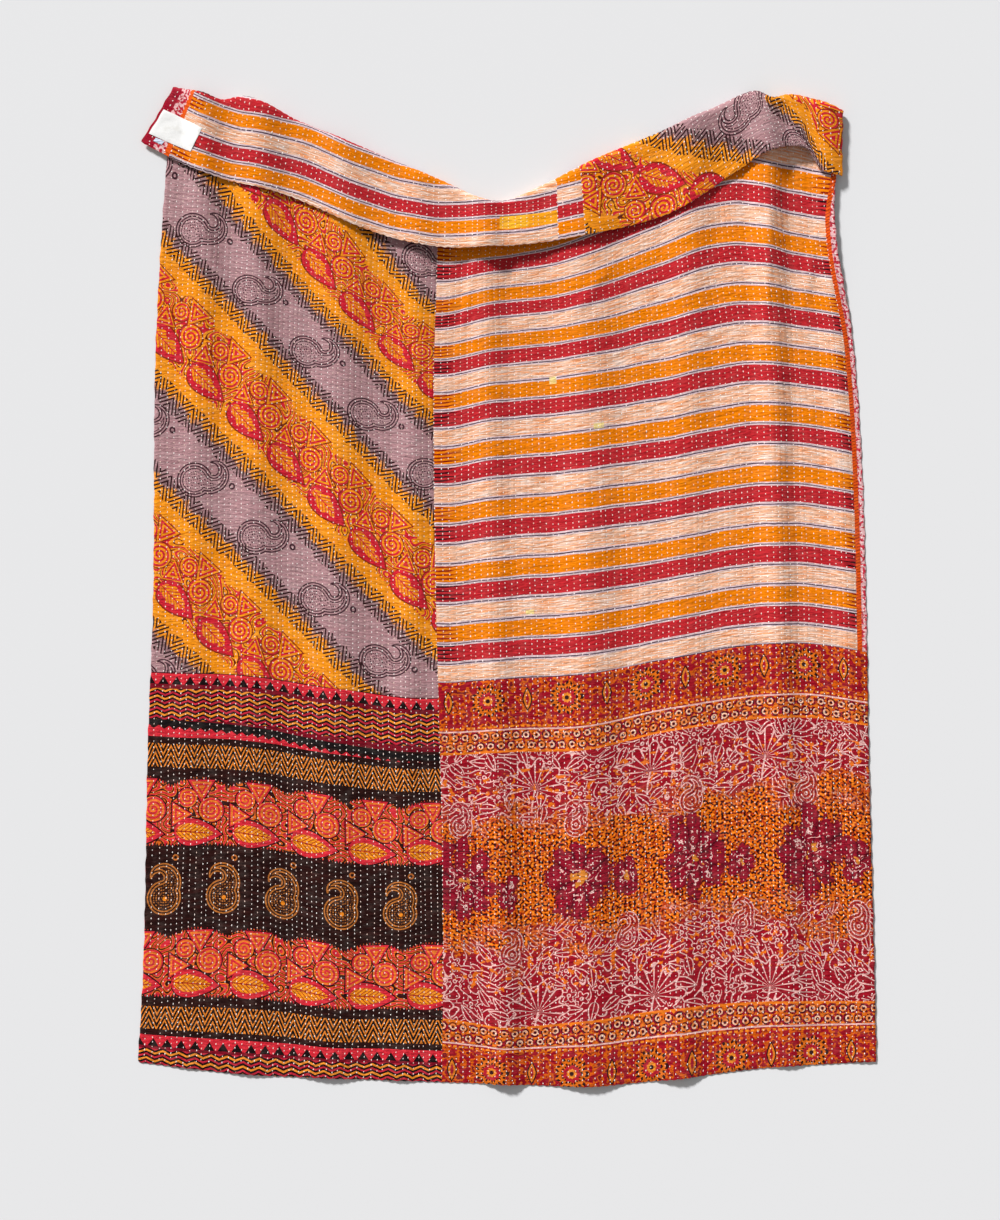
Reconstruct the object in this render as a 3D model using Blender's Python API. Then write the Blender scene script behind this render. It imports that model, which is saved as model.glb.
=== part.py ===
"""Kantha quilt, spread face up with its top end folded forward over its front.

The quilt is one thin sheet of layered cotton. Its middle surface is a grid. A
column of the grid is a share of the width, 0 at the left edge and 1 at the
right edge. A row is a distance along the cloth from the hem of the folded end.
The rows run from the foot up the body, round the roll of the fold, and down the
folded end, which lies face down over the body. The woven label and its small
tab are sewn on the folded end.

Tables are in millimetres. X is to the right, Y is up the quilt and Z is up from
the surface that it lies on. The origin is the middle of the footprint.
"""
import math
from typing import NamedTuple

import bpy
import numpy as np

MM = 0.001

THICKNESS = 3.0
CLOTH_LENGTH = 1970.0
ROLL_START = 150.0
ROLL_END = 128.0

COLUMNS = 54
BODY_ROWS = 30
ROLL_ROWS = 6
FLAP_ROWS = 6

SEAM_SHARE = 0.41
STATIONS = (0.0, 0.14, 0.27, 0.41, 0.50, 0.61, 0.72, 0.86, 0.93, 1.0)

LABEL_THICKNESS = 0.7
LABEL_GAP = 0.5
LABEL_GRID = (17, 8)


class Cross(NamedTuple):
    """A line across the body at one distance along the cloth."""
    along: float
    left_x: float
    seam_x: float
    right_x: float
    y: tuple


class FoldPlace(NamedTuple):
    """The folded end at one share of the width."""
    share: float
    hem_x: float
    hem_y: float
    crest_x: float
    crest_y: float
    hem_lift: float
    roll_height: float


class Ridge(NamedTuple):
    """A soft upright fold of the body, from the top of the quilt to its foot."""
    top_x: float
    foot_x: float
    half_width: float
    top_height: float
    middle_height: float
    foot_height: float


class Patch(NamedTuple):
    """A piece sewn on the folded end: its four corners and its colour.

    A corner is a share of the width and a share of the way from fold to hem.
    """
    name: str
    fold_left: tuple
    fold_right: tuple
    hem_right: tuple
    hem_left: tuple
    colour: tuple


CROSSES = (
    Cross(289, -648, -133, 621, (781, 741, 682, 616, 625, 654, 711, 770, 752, 737)),
    Cross(566, -665, -139, 657, (504, 479, 437, 393, 410, 426, 456, 492, 483, 466)),
    Cross(1167, -674, -131, 684, (-97, -116, -152, -182, -175, -166, -139, -109, -109, -124)),
    Cross(1311, -680, -127, 686, (-241, -260, -296, -321, -314, -310, -277, -251, -251, -264)),
    Cross(1852, -694, -122, 699, (-790, -798, -819, -823, -838, -825, -804, -789, -788, -788)),
    Cross(1970, -701, -124, 701, (-902, -925, -933, -940, -944, -948, -935, -912, -906, -901)),
)

FOLD_PLACES = (
    FoldPlace(0.00, -694, 844, -633, 948, 7, 12),
    FoldPlace(0.05, -621, 806, -574, 935, 9, 14),
    FoldPlace(0.08, -578, 787, -542, 923, 9, 14),
    FoldPlace(0.11, -534, 773, -507, 929, 8, 15),
    FoldPlace(0.20, -412, 741, -384, 878, 8, 14),
    FoldPlace(0.30, -279, 682, -256, 825, 12, 14),
    FoldPlace(0.41, -133, 644, -127, 771, 20, 16),
    FoldPlace(0.49, -19, 644, -19, 730, 24, 16),
    FoldPlace(0.56, 78, 654, 74, 764, 18, 16),
    FoldPlace(0.63, 182, 673, 165, 809, 12, 14),
    FoldPlace(0.73, 329, 718, 294, 864, 8, 13),
    FoldPlace(0.81, 433, 787, 393, 908, 9, 14),
    FoldPlace(0.87, 500, 825, 469, 937, 18, 20),
    FoldPlace(0.90, 536, 834, 500, 925, 24, 12),
    FoldPlace(0.93, 568, 828, 534, 933, 22, 18),
    FoldPlace(0.965, 595, 790, 585, 923, 11, 16),
    FoldPlace(1.00, 635, 779, 638, 902, 8, 12),
)

RIDGES = (
    Ridge(-574, -612, 45, 12, 5, 2),
    Ridge(-466, -488, 60, 16, 9, 3),
    Ridge(-308, -336, 72, 13, 11, 7),
    Ridge(-165, -203, 44, 6, 9, 3),
    Ridge(-49, -4, 50, 16, 9, 14),
    Ridge(148, 158, 80, 12, 16, 10),
    Ridge(348, 329, 60, 15, 6, 11),
    Ridge(490, 538, 46, 22, 14, 4),
    Ridge(606, 690, 40, 12, 6, 2),
)
RIDGE_TOP_Y = 900.0
RIDGE_FOOT_Y = -950.0

PATCHES = (
    Patch("label", (0.004, 0.36), (0.066, 0.43), (0.060, 0.80), (0.003, 0.82), (0.86, 0.86, 0.85)),
    Patch("label_tab", (0.013, 0.83), (0.024, 0.825), (0.023, 0.89), (0.012, 0.895), (0.72, 0.80, 0.88)),
)


def smooth_curve(knots, values, at):
    """Cubic through values at the knots, read at each place of at.

    Values may carry further axes after the first, which are kept.
    """
    knots = np.asarray(knots, dtype=float)
    values = np.asarray(values, dtype=float)
    at = np.asarray(at, dtype=float)
    slopes = np.gradient(values, knots, axis=0)
    low = np.clip(np.searchsorted(knots, at, side="right") - 1, 0, len(knots) - 2)
    span = knots[low + 1] - knots[low]
    f = (at - knots[low]) / span
    tail = (1,) * (values.ndim - 1)
    span = span.reshape(span.shape + tail)
    f = f.reshape(f.shape + tail)
    return (values[low] * (1 + 2 * f) * (1 - f) ** 2
            + values[low + 1] * f * f * (3 - 2 * f)
            + slopes[low] * span * f * (1 - f) ** 2
            - slopes[low + 1] * span * f * f * (1 - f))


def ridge_height(x, y):
    """Height of the upright folds over the flat cloth, each a raised cosine."""
    down = np.clip((RIDGE_TOP_Y - y) / (RIDGE_TOP_Y - RIDGE_FOOT_Y), 0.0, 1.0)
    total = np.zeros_like(x)
    for ridge in RIDGES:
        middle = ridge.top_x + down * (ridge.foot_x - ridge.top_x)
        heights = (ridge.top_height, ridge.middle_height, ridge.foot_height)
        height = smooth_curve((0.0, 0.5, 1.0), heights, down)
        reach = np.clip(np.abs(x - middle) / ridge.half_width, 0.0, 1.0)
        total += height * 0.5 * (1 + np.cos(math.pi * reach))
    return total


def fold_frame(shares):
    """Crest, outward direction, hem, hem lift and roll height at each share."""
    table = np.array(FOLD_PLACES, dtype=float)
    hem_x, hem_y, crest_x, crest_y, lift, roll = smooth_curve(table[:, 0], table[:, 1:], shares).T
    crest = np.stack([crest_x, crest_y], axis=1)
    hem = np.stack([hem_x, hem_y], axis=1)
    run = np.gradient(crest, axis=0)
    outward = np.stack([-run[:, 1], run[:, 0]], axis=1)
    outward /= np.linalg.norm(outward, axis=1, keepdims=True)
    return crest, outward, hem, lift, roll


def body_points(shares):
    """Middle surface of the body from the foot up to the start of the roll."""
    crest, outward, _, _, roll = fold_frame(shares)
    top = crest - outward * roll[:, None] / 2
    lines = []
    for cross in reversed(CROSSES):
        x = np.interp(shares, (0, SEAM_SHARE, 1), (cross.left_x, cross.seam_x, cross.right_x))
        y = smooth_curve(STATIONS, cross.y, shares)
        lines.append(np.stack([x, y], axis=1))
    lines.append(top)
    knots = [CLOTH_LENGTH - cross.along for cross in reversed(CROSSES)] + [CLOTH_LENGTH - ROLL_START]
    at = np.linspace(knots[0], knots[-1], BODY_ROWS)
    plane = smooth_curve(knots, lines, at)
    x, y = plane[..., 0], plane[..., 1]
    return np.stack([x, y, THICKNESS / 2 + ridge_height(x, y)], axis=2)


def roll_points(shares):
    """Half turn of the fold, between the body and the folded end."""
    crest, outward, _, _, roll = fold_frame(shares)
    centre = crest - outward * roll[:, None] / 2
    base = THICKNESS / 2 + ridge_height(centre[:, 0], centre[:, 1])
    rows = []
    for step in range(1, ROLL_ROWS):
        turn = math.pi * (step / ROLL_ROWS - 0.5)
        place = centre + outward * (roll / 2 * math.cos(turn))[:, None]
        height = base + roll / 2 * (1 + math.sin(turn))
        rows.append(np.column_stack([place, height]))
    return np.array(rows)


def flap_points(shares, ways):
    """Folded end, from the roll (way 0) to its hem (way 1), above the body."""
    crest, outward, hem, lift, roll = fold_frame(shares)
    start = crest - outward * roll[:, None] / 2
    rows = []
    for way in ways:
        place = start + (hem - start) * way
        ease = way * way * (3 - 2 * way)
        over = roll + (lift - roll) * ease
        height = THICKNESS / 2 + ridge_height(place[:, 0], place[:, 1]) + over
        rows.append(np.column_stack([place, height]))
    return np.array(rows)


def grid_normals(points):
    """Unit normals of a grid of points, rows by columns."""
    across = np.gradient(points, axis=1)
    along = np.gradient(points, axis=0)
    normals = np.cross(across, along)
    return normals / np.linalg.norm(normals, axis=2, keepdims=True)


def add_shell(name, front, back, material):
    """Closed sheet between two grids of points, with a wall round its edge."""
    rows, columns = front.shape[:2]
    count = rows * columns

    def place(row, column, side):
        return side * count + row * columns + column

    faces = []
    for row in range(rows - 1):
        for column in range(columns - 1):
            near, right = (row, column), (row, column + 1)
            far, left = (row + 1, column + 1), (row + 1, column)
            for ring in ((near, right, far), (near, far, left)):
                faces.append([place(r, c, 0) for r, c in ring])
                faces.append([place(r, c, 1) for r, c in reversed(ring)])
    border = [(0, column) for column in range(columns)]
    border += [(row, columns - 1) for row in range(1, rows)]
    border += [(rows - 1, column) for column in range(columns - 2, -1, -1)]
    border += [(row, 0) for row in range(rows - 2, 0, -1)]
    for here, after in zip(border, border[1:] + border[:1]):
        faces.append([place(*here, 1), place(*after, 1), place(*after, 0), place(*here, 0)])
    points = np.concatenate([front.reshape(-1, 3), back.reshape(-1, 3)]) * MM
    mesh = bpy.data.meshes.new(name)
    mesh.from_pydata(points.tolist(), [], faces)
    mesh.shade_smooth()
    mesh.set_sharp_from_angle(angle=math.radians(50))
    mesh.materials.append(material)
    shell = bpy.data.objects.new(name, mesh)
    bpy.context.scene.collection.objects.link(shell)
    return shell


def fabric(name, colour, roughness):
    """Plain cloth material."""
    material = bpy.data.materials.new(name)
    material.use_nodes = True
    shader = material.node_tree.nodes["Principled BSDF"]
    shader.inputs["Base Color"].default_value = (*colour, 1.0)
    shader.inputs["Roughness"].default_value = roughness
    shader.inputs["Metallic"].default_value = 0.0
    return material


def sheet_faces():
    """Front and back of the whole sheet: body, roll and folded end."""
    shares = np.linspace(0.0, 1.0, COLUMNS)
    ways = np.linspace(0.0, 1.0, FLAP_ROWS)
    middle = np.concatenate([body_points(shares), roll_points(shares), flap_points(shares, ways)])
    offset = grid_normals(middle) * THICKNESS / 2
    return middle + offset, middle - offset


def on_flap(upper, share, way):
    """Point of the folded end's upper face, on the triangle that holds it."""
    column = min(int(share * (COLUMNS - 1)), COLUMNS - 2)
    row = min(int(way * (FLAP_ROWS - 1)), FLAP_ROWS - 2)
    f = share * (COLUMNS - 1) - column
    g = way * (FLAP_ROWS - 1) - row
    near, right = upper[row, column], upper[row, column + 1]
    far, left = upper[row + 1, column + 1], upper[row + 1, column]
    if f >= g:
        return near + (right - near) * f + (far - right) * g
    return near + (far - left) * f + (left - near) * g


def add_patch(patch, upper):
    """A small thin piece that follows the folded end, just clear of it."""
    across, down = LABEL_GRID
    grid = []
    for way_down in np.linspace(0.0, 1.0, down):
        row = []
        for way_across in np.linspace(0.0, 1.0, across):
            fold = np.array(patch.fold_left) * (1 - way_across) + np.array(patch.fold_right) * way_across
            hem = np.array(patch.hem_left) * (1 - way_across) + np.array(patch.hem_right) * way_across
            row.append(on_flap(upper, *(fold * (1 - way_down) + hem * way_down)))
        grid.append(row)
    low = np.array(grid) + (0.0, 0.0, LABEL_GAP)
    high = low + (0.0, 0.0, LABEL_THICKNESS)
    return add_shell(patch.name, low, high, fabric(patch.name + "_satin", patch.colour, 0.6))


def main():
    """Clear the scene, then build the quilt, its label and the label's tab."""
    for thing in list(bpy.data.objects):
        bpy.data.objects.remove(thing, do_unlink=True)
    front, back = sheet_faces()
    add_shell("quilt", front, back, fabric("quilt_cotton", (0.62, 0.13, 0.05), 0.85))
    for patch in PATCHES:
        add_patch(patch, back[-FLAP_ROWS:])


main()
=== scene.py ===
"""Looks of the kantha quilt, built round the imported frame.

The quilt is two layers of cotton patchwork held together by rows of running
stitch. Every piece of cloth is a thin closed shell on one shared surface, the
Drape, so the panels, the stitches, the hem and the label all lie in the same
folds as the CAD solid. Prints are worked out by shader nodes from each panel's
own cloth coordinates, in metres.
"""

import logging
import math
from abc import ABC, abstractmethod
from dataclasses import dataclass, field
from enum import Enum
from typing import NamedTuple, Sequence

import bpy
import numpy as np
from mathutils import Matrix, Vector

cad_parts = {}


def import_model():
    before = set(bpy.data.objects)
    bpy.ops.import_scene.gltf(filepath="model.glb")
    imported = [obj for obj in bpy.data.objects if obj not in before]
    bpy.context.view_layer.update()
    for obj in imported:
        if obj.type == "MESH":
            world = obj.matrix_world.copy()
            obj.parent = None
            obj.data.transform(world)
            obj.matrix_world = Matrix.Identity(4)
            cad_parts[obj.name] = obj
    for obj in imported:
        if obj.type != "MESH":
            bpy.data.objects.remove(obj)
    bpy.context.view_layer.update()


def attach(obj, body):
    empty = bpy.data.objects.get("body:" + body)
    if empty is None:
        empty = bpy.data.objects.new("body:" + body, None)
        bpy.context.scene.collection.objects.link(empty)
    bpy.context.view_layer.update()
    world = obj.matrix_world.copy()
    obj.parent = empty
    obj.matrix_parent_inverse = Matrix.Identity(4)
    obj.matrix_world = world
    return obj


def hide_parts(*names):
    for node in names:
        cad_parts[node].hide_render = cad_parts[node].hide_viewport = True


log = logging.getLogger("quilt")

MM = 0.001

# The cloth, in metres, but for CLOTH_LENGTH, ROLL_START and ROLL_END, which are
# in mm like the tables below. A seam has the distance along at its left and right
# ends. Shares and stations are parts of the width.
WIDTH = 1.400
THICKNESS = 3.0 * MM
CLOTH_LENGTH = 1970.0
ROLL_START = 150.0
ROLL_END = 128.0
SEAM_SHARE = 0.41
LEFT_SEAM = (1.231, 1.197)
RIGHT_SEAM = (1.167, 1.167)
PATCH_SHARES = (0.573, 0.607)
STATIONS = (0.0, 0.14, 0.27, 0.41, 0.50, 0.61, 0.72, 0.86, 0.93, 1.0)

# The sewing: its rows, the groove that they pull in, and how far a stitch stands
# over the groove and its ends sink. FLOOR_GAP is the least height over the floor.
STITCH_SPACING = 11.7 * MM
STITCH_PITCH = 9.8 * MM
GROOVE_DEPTH = 1.1 * MM
LEAST_RELIEF = 0.6 * MM
STITCH_RISE = 0.9 * MM
STITCH_SINK = 0.6 * MM
FLOOR_GAP = 0.05 * MM

# The edges: the hems' scallops, the straight hem's place in one as a share from its
# notch, how far they reach in, and the sides' waver as lengths and shares.
HEM_PITCH = 14.2 * MM
HEM_SCALLOP = 2.2 * MM
HEM_MIDDLE = 0.6
HEM_REACH = 12.0 * MM
SIDE_WAVER = 0.7 * MM
SIDE_WAVES = ((31.0 * MM, 1.0), (83.0 * MM, 0.8))

Grid = np.ndarray


class Cross(NamedTuple):
    """A line across the body at one distance along the cloth, in mm.

    It has the left side's, the seam's and the right side's x, and y at each station.
    """

    along: float
    left_x: float
    seam_x: float
    right_x: float
    y: tuple


class FoldPlace(NamedTuple):
    """The folded end at one share of the width, in mm."""

    share: float
    hem_x: float
    hem_y: float
    crest_x: float
    crest_y: float
    hem_lift: float
    roll_height: float


class Ridge(NamedTuple):
    """A soft upright fold of the body, from the top of the quilt to its foot, in mm."""

    top_x: float
    foot_x: float
    half_width: float
    top_height: float
    middle_height: float
    foot_height: float


class Crease(NamedTuple):
    """A short soft crease from one place to another, in mm; a trough has a negative height."""

    start_x: float
    start_y: float
    end_x: float
    end_y: float
    half_width: float
    height: float


CROSSES = (
    Cross(289, -648, -133, 621, (781, 741, 682, 616, 625, 654, 711, 770, 752, 737)),
    Cross(566, -665, -139, 657, (504, 479, 437, 393, 410, 426, 456, 492, 483, 466)),
    Cross(1167, -674, -131, 684, (-97, -116, -152, -182, -175, -166, -139, -109, -109, -124)),
    Cross(1311, -680, -127, 686, (-241, -260, -296, -321, -314, -310, -277, -251, -251, -264)),
    Cross(1852, -694, -122, 699, (-790, -798, -819, -823, -838, -825, -804, -789, -788, -788)),
    Cross(1970, -701, -124, 701, (-902, -925, -933, -940, -944, -948, -935, -912, -906, -901)),
)

FOLD_PLACES = (
    FoldPlace(0.00, -694, 844, -633, 948, 7, 12),
    FoldPlace(0.05, -621, 806, -574, 935, 9, 14),
    FoldPlace(0.08, -578, 787, -542, 923, 9, 14),
    FoldPlace(0.11, -534, 773, -507, 929, 8, 15),
    FoldPlace(0.20, -412, 741, -384, 878, 8, 14),
    FoldPlace(0.30, -279, 682, -256, 825, 12, 14),
    FoldPlace(0.41, -133, 644, -127, 771, 20, 16),
    FoldPlace(0.49, -19, 644, -19, 730, 24, 16),
    FoldPlace(0.56, 78, 654, 74, 764, 18, 16),
    FoldPlace(0.63, 182, 673, 165, 809, 12, 14),
    FoldPlace(0.73, 329, 718, 294, 864, 8, 13),
    FoldPlace(0.81, 433, 787, 393, 908, 9, 14),
    FoldPlace(0.87, 500, 825, 469, 937, 18, 20),
    FoldPlace(0.90, 536, 834, 500, 925, 24, 12),
    FoldPlace(0.93, 568, 828, 534, 933, 22, 18),
    FoldPlace(0.965, 595, 790, 585, 923, 11, 16),
    FoldPlace(1.00, 635, 779, 638, 902, 8, 12),
)

RIDGES = (
    Ridge(-574, -612, 45, 12, 5, 2),
    Ridge(-466, -488, 60, 16, 9, 3),
    Ridge(-308, -336, 72, 13, 11, 7),
    Ridge(-165, -203, 44, 6, 9, 3),
    Ridge(-49, -4, 50, 16, 9, 14),
    Ridge(148, 158, 80, 12, 16, 10),
    Ridge(348, 329, 60, 15, 6, 11),
    Ridge(490, 538, 46, 22, 14, 4),
    Ridge(606, 690, 40, 12, 6, 2),
)
RIDGE_TOP_Y = 900.0
RIDGE_FOOT_Y = -950.0

CREASES = (
    Crease(498, 770, 486, 430, 14, 4.0),
    Crease(-60, 640, -95, 420, 12, 3.0),
    Crease(-480, 760, -420, 420, 24, -3.0),
    Crease(-590, 700, -500, 480, 18, 3.5),
    Crease(590, 700, 560, 500, 16, 3.0),
    Crease(220, 640, 90, 470, 20, 2.5),
    Crease(-300, 600, -200, 400, 22, 2.5),
    Crease(-640, -200, -560, -520, 26, 2.5),
    Crease(250, -300, 400, -560, 30, 2.5),
    Crease(620, -250, 600, -640, 24, 3.0),
)


class Drape:
    """The middle surface of the quilt, in the folds that it lies in.

    A place on it is a share of the width (0 left, 1 right) and a distance along
    the cloth in metres, from the hem of the folded end (0) to the foot.
    """

    def __init__(self) -> None:
        """Works out the lattice of points, normals and lengths once."""
        self.shares = np.linspace(0.0, 1.0, 701)
        flap = np.linspace(0.0, ROLL_END, 60)
        roll = np.linspace(ROLL_END, ROLL_START, 25)[1:-1]
        body = np.linspace(ROLL_START, CLOTH_LENGTH, 460)
        points = np.concatenate([self._flap(flap), self._roll(roll), self._body(body)])
        self.points = points * MM
        self.alongs = np.concatenate([flap, roll, body]) * MM
        across = np.gradient(self.points, axis=1)
        down = np.gradient(self.points, axis=0)
        normals = np.cross(down, across)
        self.normals = normals / np.linalg.norm(normals, axis=2, keepdims=True)
        steps = np.linalg.norm(np.diff(self.points, axis=0), axis=2)
        self.lengths = np.concatenate([np.zeros((1, len(self.shares))), np.cumsum(steps, axis=0)])

    @staticmethod
    def curve(knots: Sequence[float], values: Sequence, at: Grid) -> Grid:
        """Cubic through values at the knots, with the slopes of their neighbours.

        Args:
            knots: Places of the values, in order.
            values: A value, or a row of values, at each knot.
            at: Places to read.

        Returns:
            The value or row at each place.
        """
        knots = np.asarray(knots, dtype=float)
        values = np.asarray(values, dtype=float)
        at = np.asarray(at, dtype=float)
        slopes = np.gradient(values, knots, axis=0)
        low = np.clip(np.searchsorted(knots, at, side="right") - 1, 0, len(knots) - 2)
        span = knots[low + 1] - knots[low]
        f = (at - knots[low]) / span
        tail = (1,) * (values.ndim - 1)
        span = span.reshape(span.shape + tail)
        f = f.reshape(f.shape + tail)
        return (values[low] * (1 + 2 * f) * (1 - f) ** 2
                + values[low + 1] * f * f * (3 - 2 * f)
                + slopes[low] * span * f * (1 - f) ** 2
                - slopes[low + 1] * span * f * f * (1 - f))

    def _rise(self, x: Grid, y: Grid) -> Grid:
        """Height of the upright folds and the creases over flat cloth, raised cosines.

        Args:
            x: Places across, in mm.
            y: Places up the quilt, in mm.

        Returns:
            The rise at each place, in mm, never below 0.
        """
        down = np.clip((RIDGE_TOP_Y - y) / (RIDGE_TOP_Y - RIDGE_FOOT_Y), 0.0, 1.0)
        total = np.zeros_like(x)
        for ridge in RIDGES:
            middle = ridge.top_x + down * (ridge.foot_x - ridge.top_x)
            heights = (ridge.top_height, ridge.middle_height, ridge.foot_height)
            height = self.curve((0.0, 0.5, 1.0), heights, down)
            reach = np.clip(np.abs(x - middle) / ridge.half_width, 0.0, 1.0)
            total += height * 0.5 * (1 + np.cos(math.pi * reach))
        for crease in CREASES:
            run = np.array([crease.end_x - crease.start_x, crease.end_y - crease.start_y])
            length = np.linalg.norm(run)
            run = run / length
            way = (x - crease.start_x) * run[0] + (y - crease.start_y) * run[1]
            side = (y - crease.start_y) * run[0] - (x - crease.start_x) * run[1]
            reach = np.clip(np.abs(side) / crease.half_width, 0.0, 1.0)
            fade = np.clip(way / length, 0.0, 1.0)
            total += crease.height * np.sin(math.pi * fade) * 0.5 * (1 + np.cos(math.pi * reach))
        return np.maximum(total, 0.0)

    def _fold(self) -> tuple:
        """Reads the fold's places at each share.

        Returns:
            Crest, outward direction, hem, lift of the hem and height of the roll.
        """
        table = np.array(FOLD_PLACES, dtype=float)
        read = self.curve(table[:, 0], table[:, 1:], self.shares)
        hem_x, hem_y, crest_x, crest_y, lift, roll = read.T
        crest = np.stack([crest_x, crest_y], axis=1)
        run = np.gradient(crest, axis=0)
        outward = np.stack([-run[:, 1], run[:, 0]], axis=1)
        outward /= np.linalg.norm(outward, axis=1, keepdims=True)
        reach = 4
        kernel = np.ones(2 * reach + 1) / (2 * reach + 1)
        for axis in range(2):
            padded = np.pad(outward[:, axis], reach, mode="edge")
            outward[:, axis] = np.convolve(padded, kernel, mode="valid")
        return crest, outward, np.stack([hem_x, hem_y], axis=1), lift, roll

    def _flap(self, alongs: Grid) -> Grid:
        """Folded end: a straight run from hem to roll, lifted by an eased height.

        Args:
            alongs: Distances from the hem, in mm.

        Returns:
            Points, a row for each distance.
        """
        crest, outward, hem, lift, roll = self._fold()
        start = crest - outward * roll[:, None] / 2
        way = (1 - alongs / ROLL_END)[:, None]
        place = start + (hem - start) * way[..., None]
        over = roll + (lift - roll) * way * way * (3 - 2 * way)
        height = THICKNESS / MM / 2 + self._rise(place[..., 0], place[..., 1]) + over
        return np.concatenate([place, height[..., None]], axis=2)

    def _roll(self, alongs: Grid) -> Grid:
        """Half turn of the fold, from the folded end down to the body.

        Args:
            alongs: Distances from the hem, in mm.

        Returns:
            Points, a row for each distance.
        """
        crest, outward, _, _, roll = self._fold()
        centre = crest - outward * roll[:, None] / 2
        base = THICKNESS / MM / 2 + self._rise(centre[:, 0], centre[:, 1])
        turn = math.pi * (0.5 - (alongs - ROLL_END) / (ROLL_START - ROLL_END))[:, None]
        place = centre + outward * (roll / 2 * np.cos(turn))[..., None]
        height = base + roll / 2 * (1 + np.sin(turn))
        return np.concatenate([place, height[..., None]], axis=2)

    def _body(self, alongs: Grid) -> Grid:
        """Body: cubics down each column through the table's lines across.

        Args:
            alongs: Distances from the hem, in mm.

        Returns:
            Points, a row for each distance.
        """
        crest, outward, _, _, roll = self._fold()
        lines = [crest - outward * roll[:, None] / 2]
        for cross in CROSSES:
            knots_x = (cross.left_x, cross.seam_x, cross.right_x)
            x = np.interp(self.shares, (0, SEAM_SHARE, 1), knots_x)
            lines.append(np.stack([x, self.curve(STATIONS, cross.y, self.shares)], axis=1))
        knots = [ROLL_START] + [cross.along for cross in CROSSES]
        plane = self.curve(knots, lines, alongs)
        x, y = plane[..., 0], plane[..., 1]
        return np.stack([x, y, THICKNESS / MM / 2 + self._rise(x, y)], axis=2)

    def _read(self, lattice: Grid, share: Grid, along: Grid) -> Grid:
        """Reads a lattice between its four nearest places.

        Args:
            lattice: Values, rows by columns, with any further axes.
            share: Shares of the width.
            along: Distances from the hem, in metres.

        Returns:
            The value at each place.
        """
        share, along = np.broadcast_arrays(share, along)
        column = np.clip(share, 0.0, 1.0) * (len(self.shares) - 1)
        row = np.interp(along, self.alongs, np.arange(len(self.alongs)))
        c = np.minimum(column.astype(int), len(self.shares) - 2)
        r = np.minimum(row.astype(int), len(self.alongs) - 2)
        f, g = column - c, row - r
        if lattice.ndim == 3:
            f, g = f[..., None], g[..., None]
        return ((lattice[r, c] * (1 - f) + lattice[r, c + 1] * f) * (1 - g)
                + (lattice[r + 1, c] * (1 - f) + lattice[r + 1, c + 1] * f) * g)

    def at(self, share: Grid, along: Grid, height: Grid) -> Grid:
        """Points at a height over the middle surface, on the front's side if positive.

        The two hems are drawn into small scallops by their stitches, and the
        sides waver a little.

        Args:
            share: Shares of the width.
            along: Distances from the hem, in metres.
            height: Heights in metres.

        Returns:
            Points in metres, with the places' shape and a last axis of three.
        """
        share, along, height = np.broadcast_arrays(share, along, height)
        normal = self._read(self.normals, share, along)
        normal = normal / np.linalg.norm(normal, axis=-1, keepdims=True)
        points = self._read(self.points, share, along) + normal * height[..., None]
        foot = np.clip((along - CLOTH_LENGTH * MM) / HEM_REACH + 1, 0.0, 1.0)
        top = np.clip(1 - along / HEM_REACH, 0.0, 1.0)
        scallop = np.abs(np.sin(math.pi * share * WIDTH / HEM_PITCH)) - HEM_MIDDLE
        points[..., 1] -= HEM_SCALLOP * scallop * (foot + top)
        left = np.clip(1 - share * WIDTH / HEM_REACH, 0.0, 1.0)
        right = np.clip((share - 1) * WIDTH / HEM_REACH + 1, 0.0, 1.0)
        waver = sum(size * np.sin(along * 2 * math.pi / length) for length, size in SIDE_WAVES)
        points[..., 0] -= SIDE_WAVER * waver * (left - right)
        return points

    @staticmethod
    def settled(height: Grid, along: Grid, limit: float) -> Grid:
        """Heights of the back's face, kept within a limit where it lies on the floor.

        Args:
            height: Heights over the middle surface, in metres.
            along: Distances from the hem, in metres.
            limit: Greatest height under the body.

        Returns:
            The heights, unchanged on the folded end.
        """
        under = np.clip((along - ROLL_END * MM) / ((ROLL_START - ROLL_END) * MM), 0.0, 1.0)
        return height + (np.minimum(height, limit) - height) * under

    def length(self, share: Grid, along: Grid) -> Grid:
        """Measured length of the cloth from the hem to each place, in metres."""
        return self._read(self.lengths, share, along)


class Side(Enum):
    """Which face of the quilt a piece of cloth is on."""

    FRONT = 1
    BACK = -1


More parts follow.
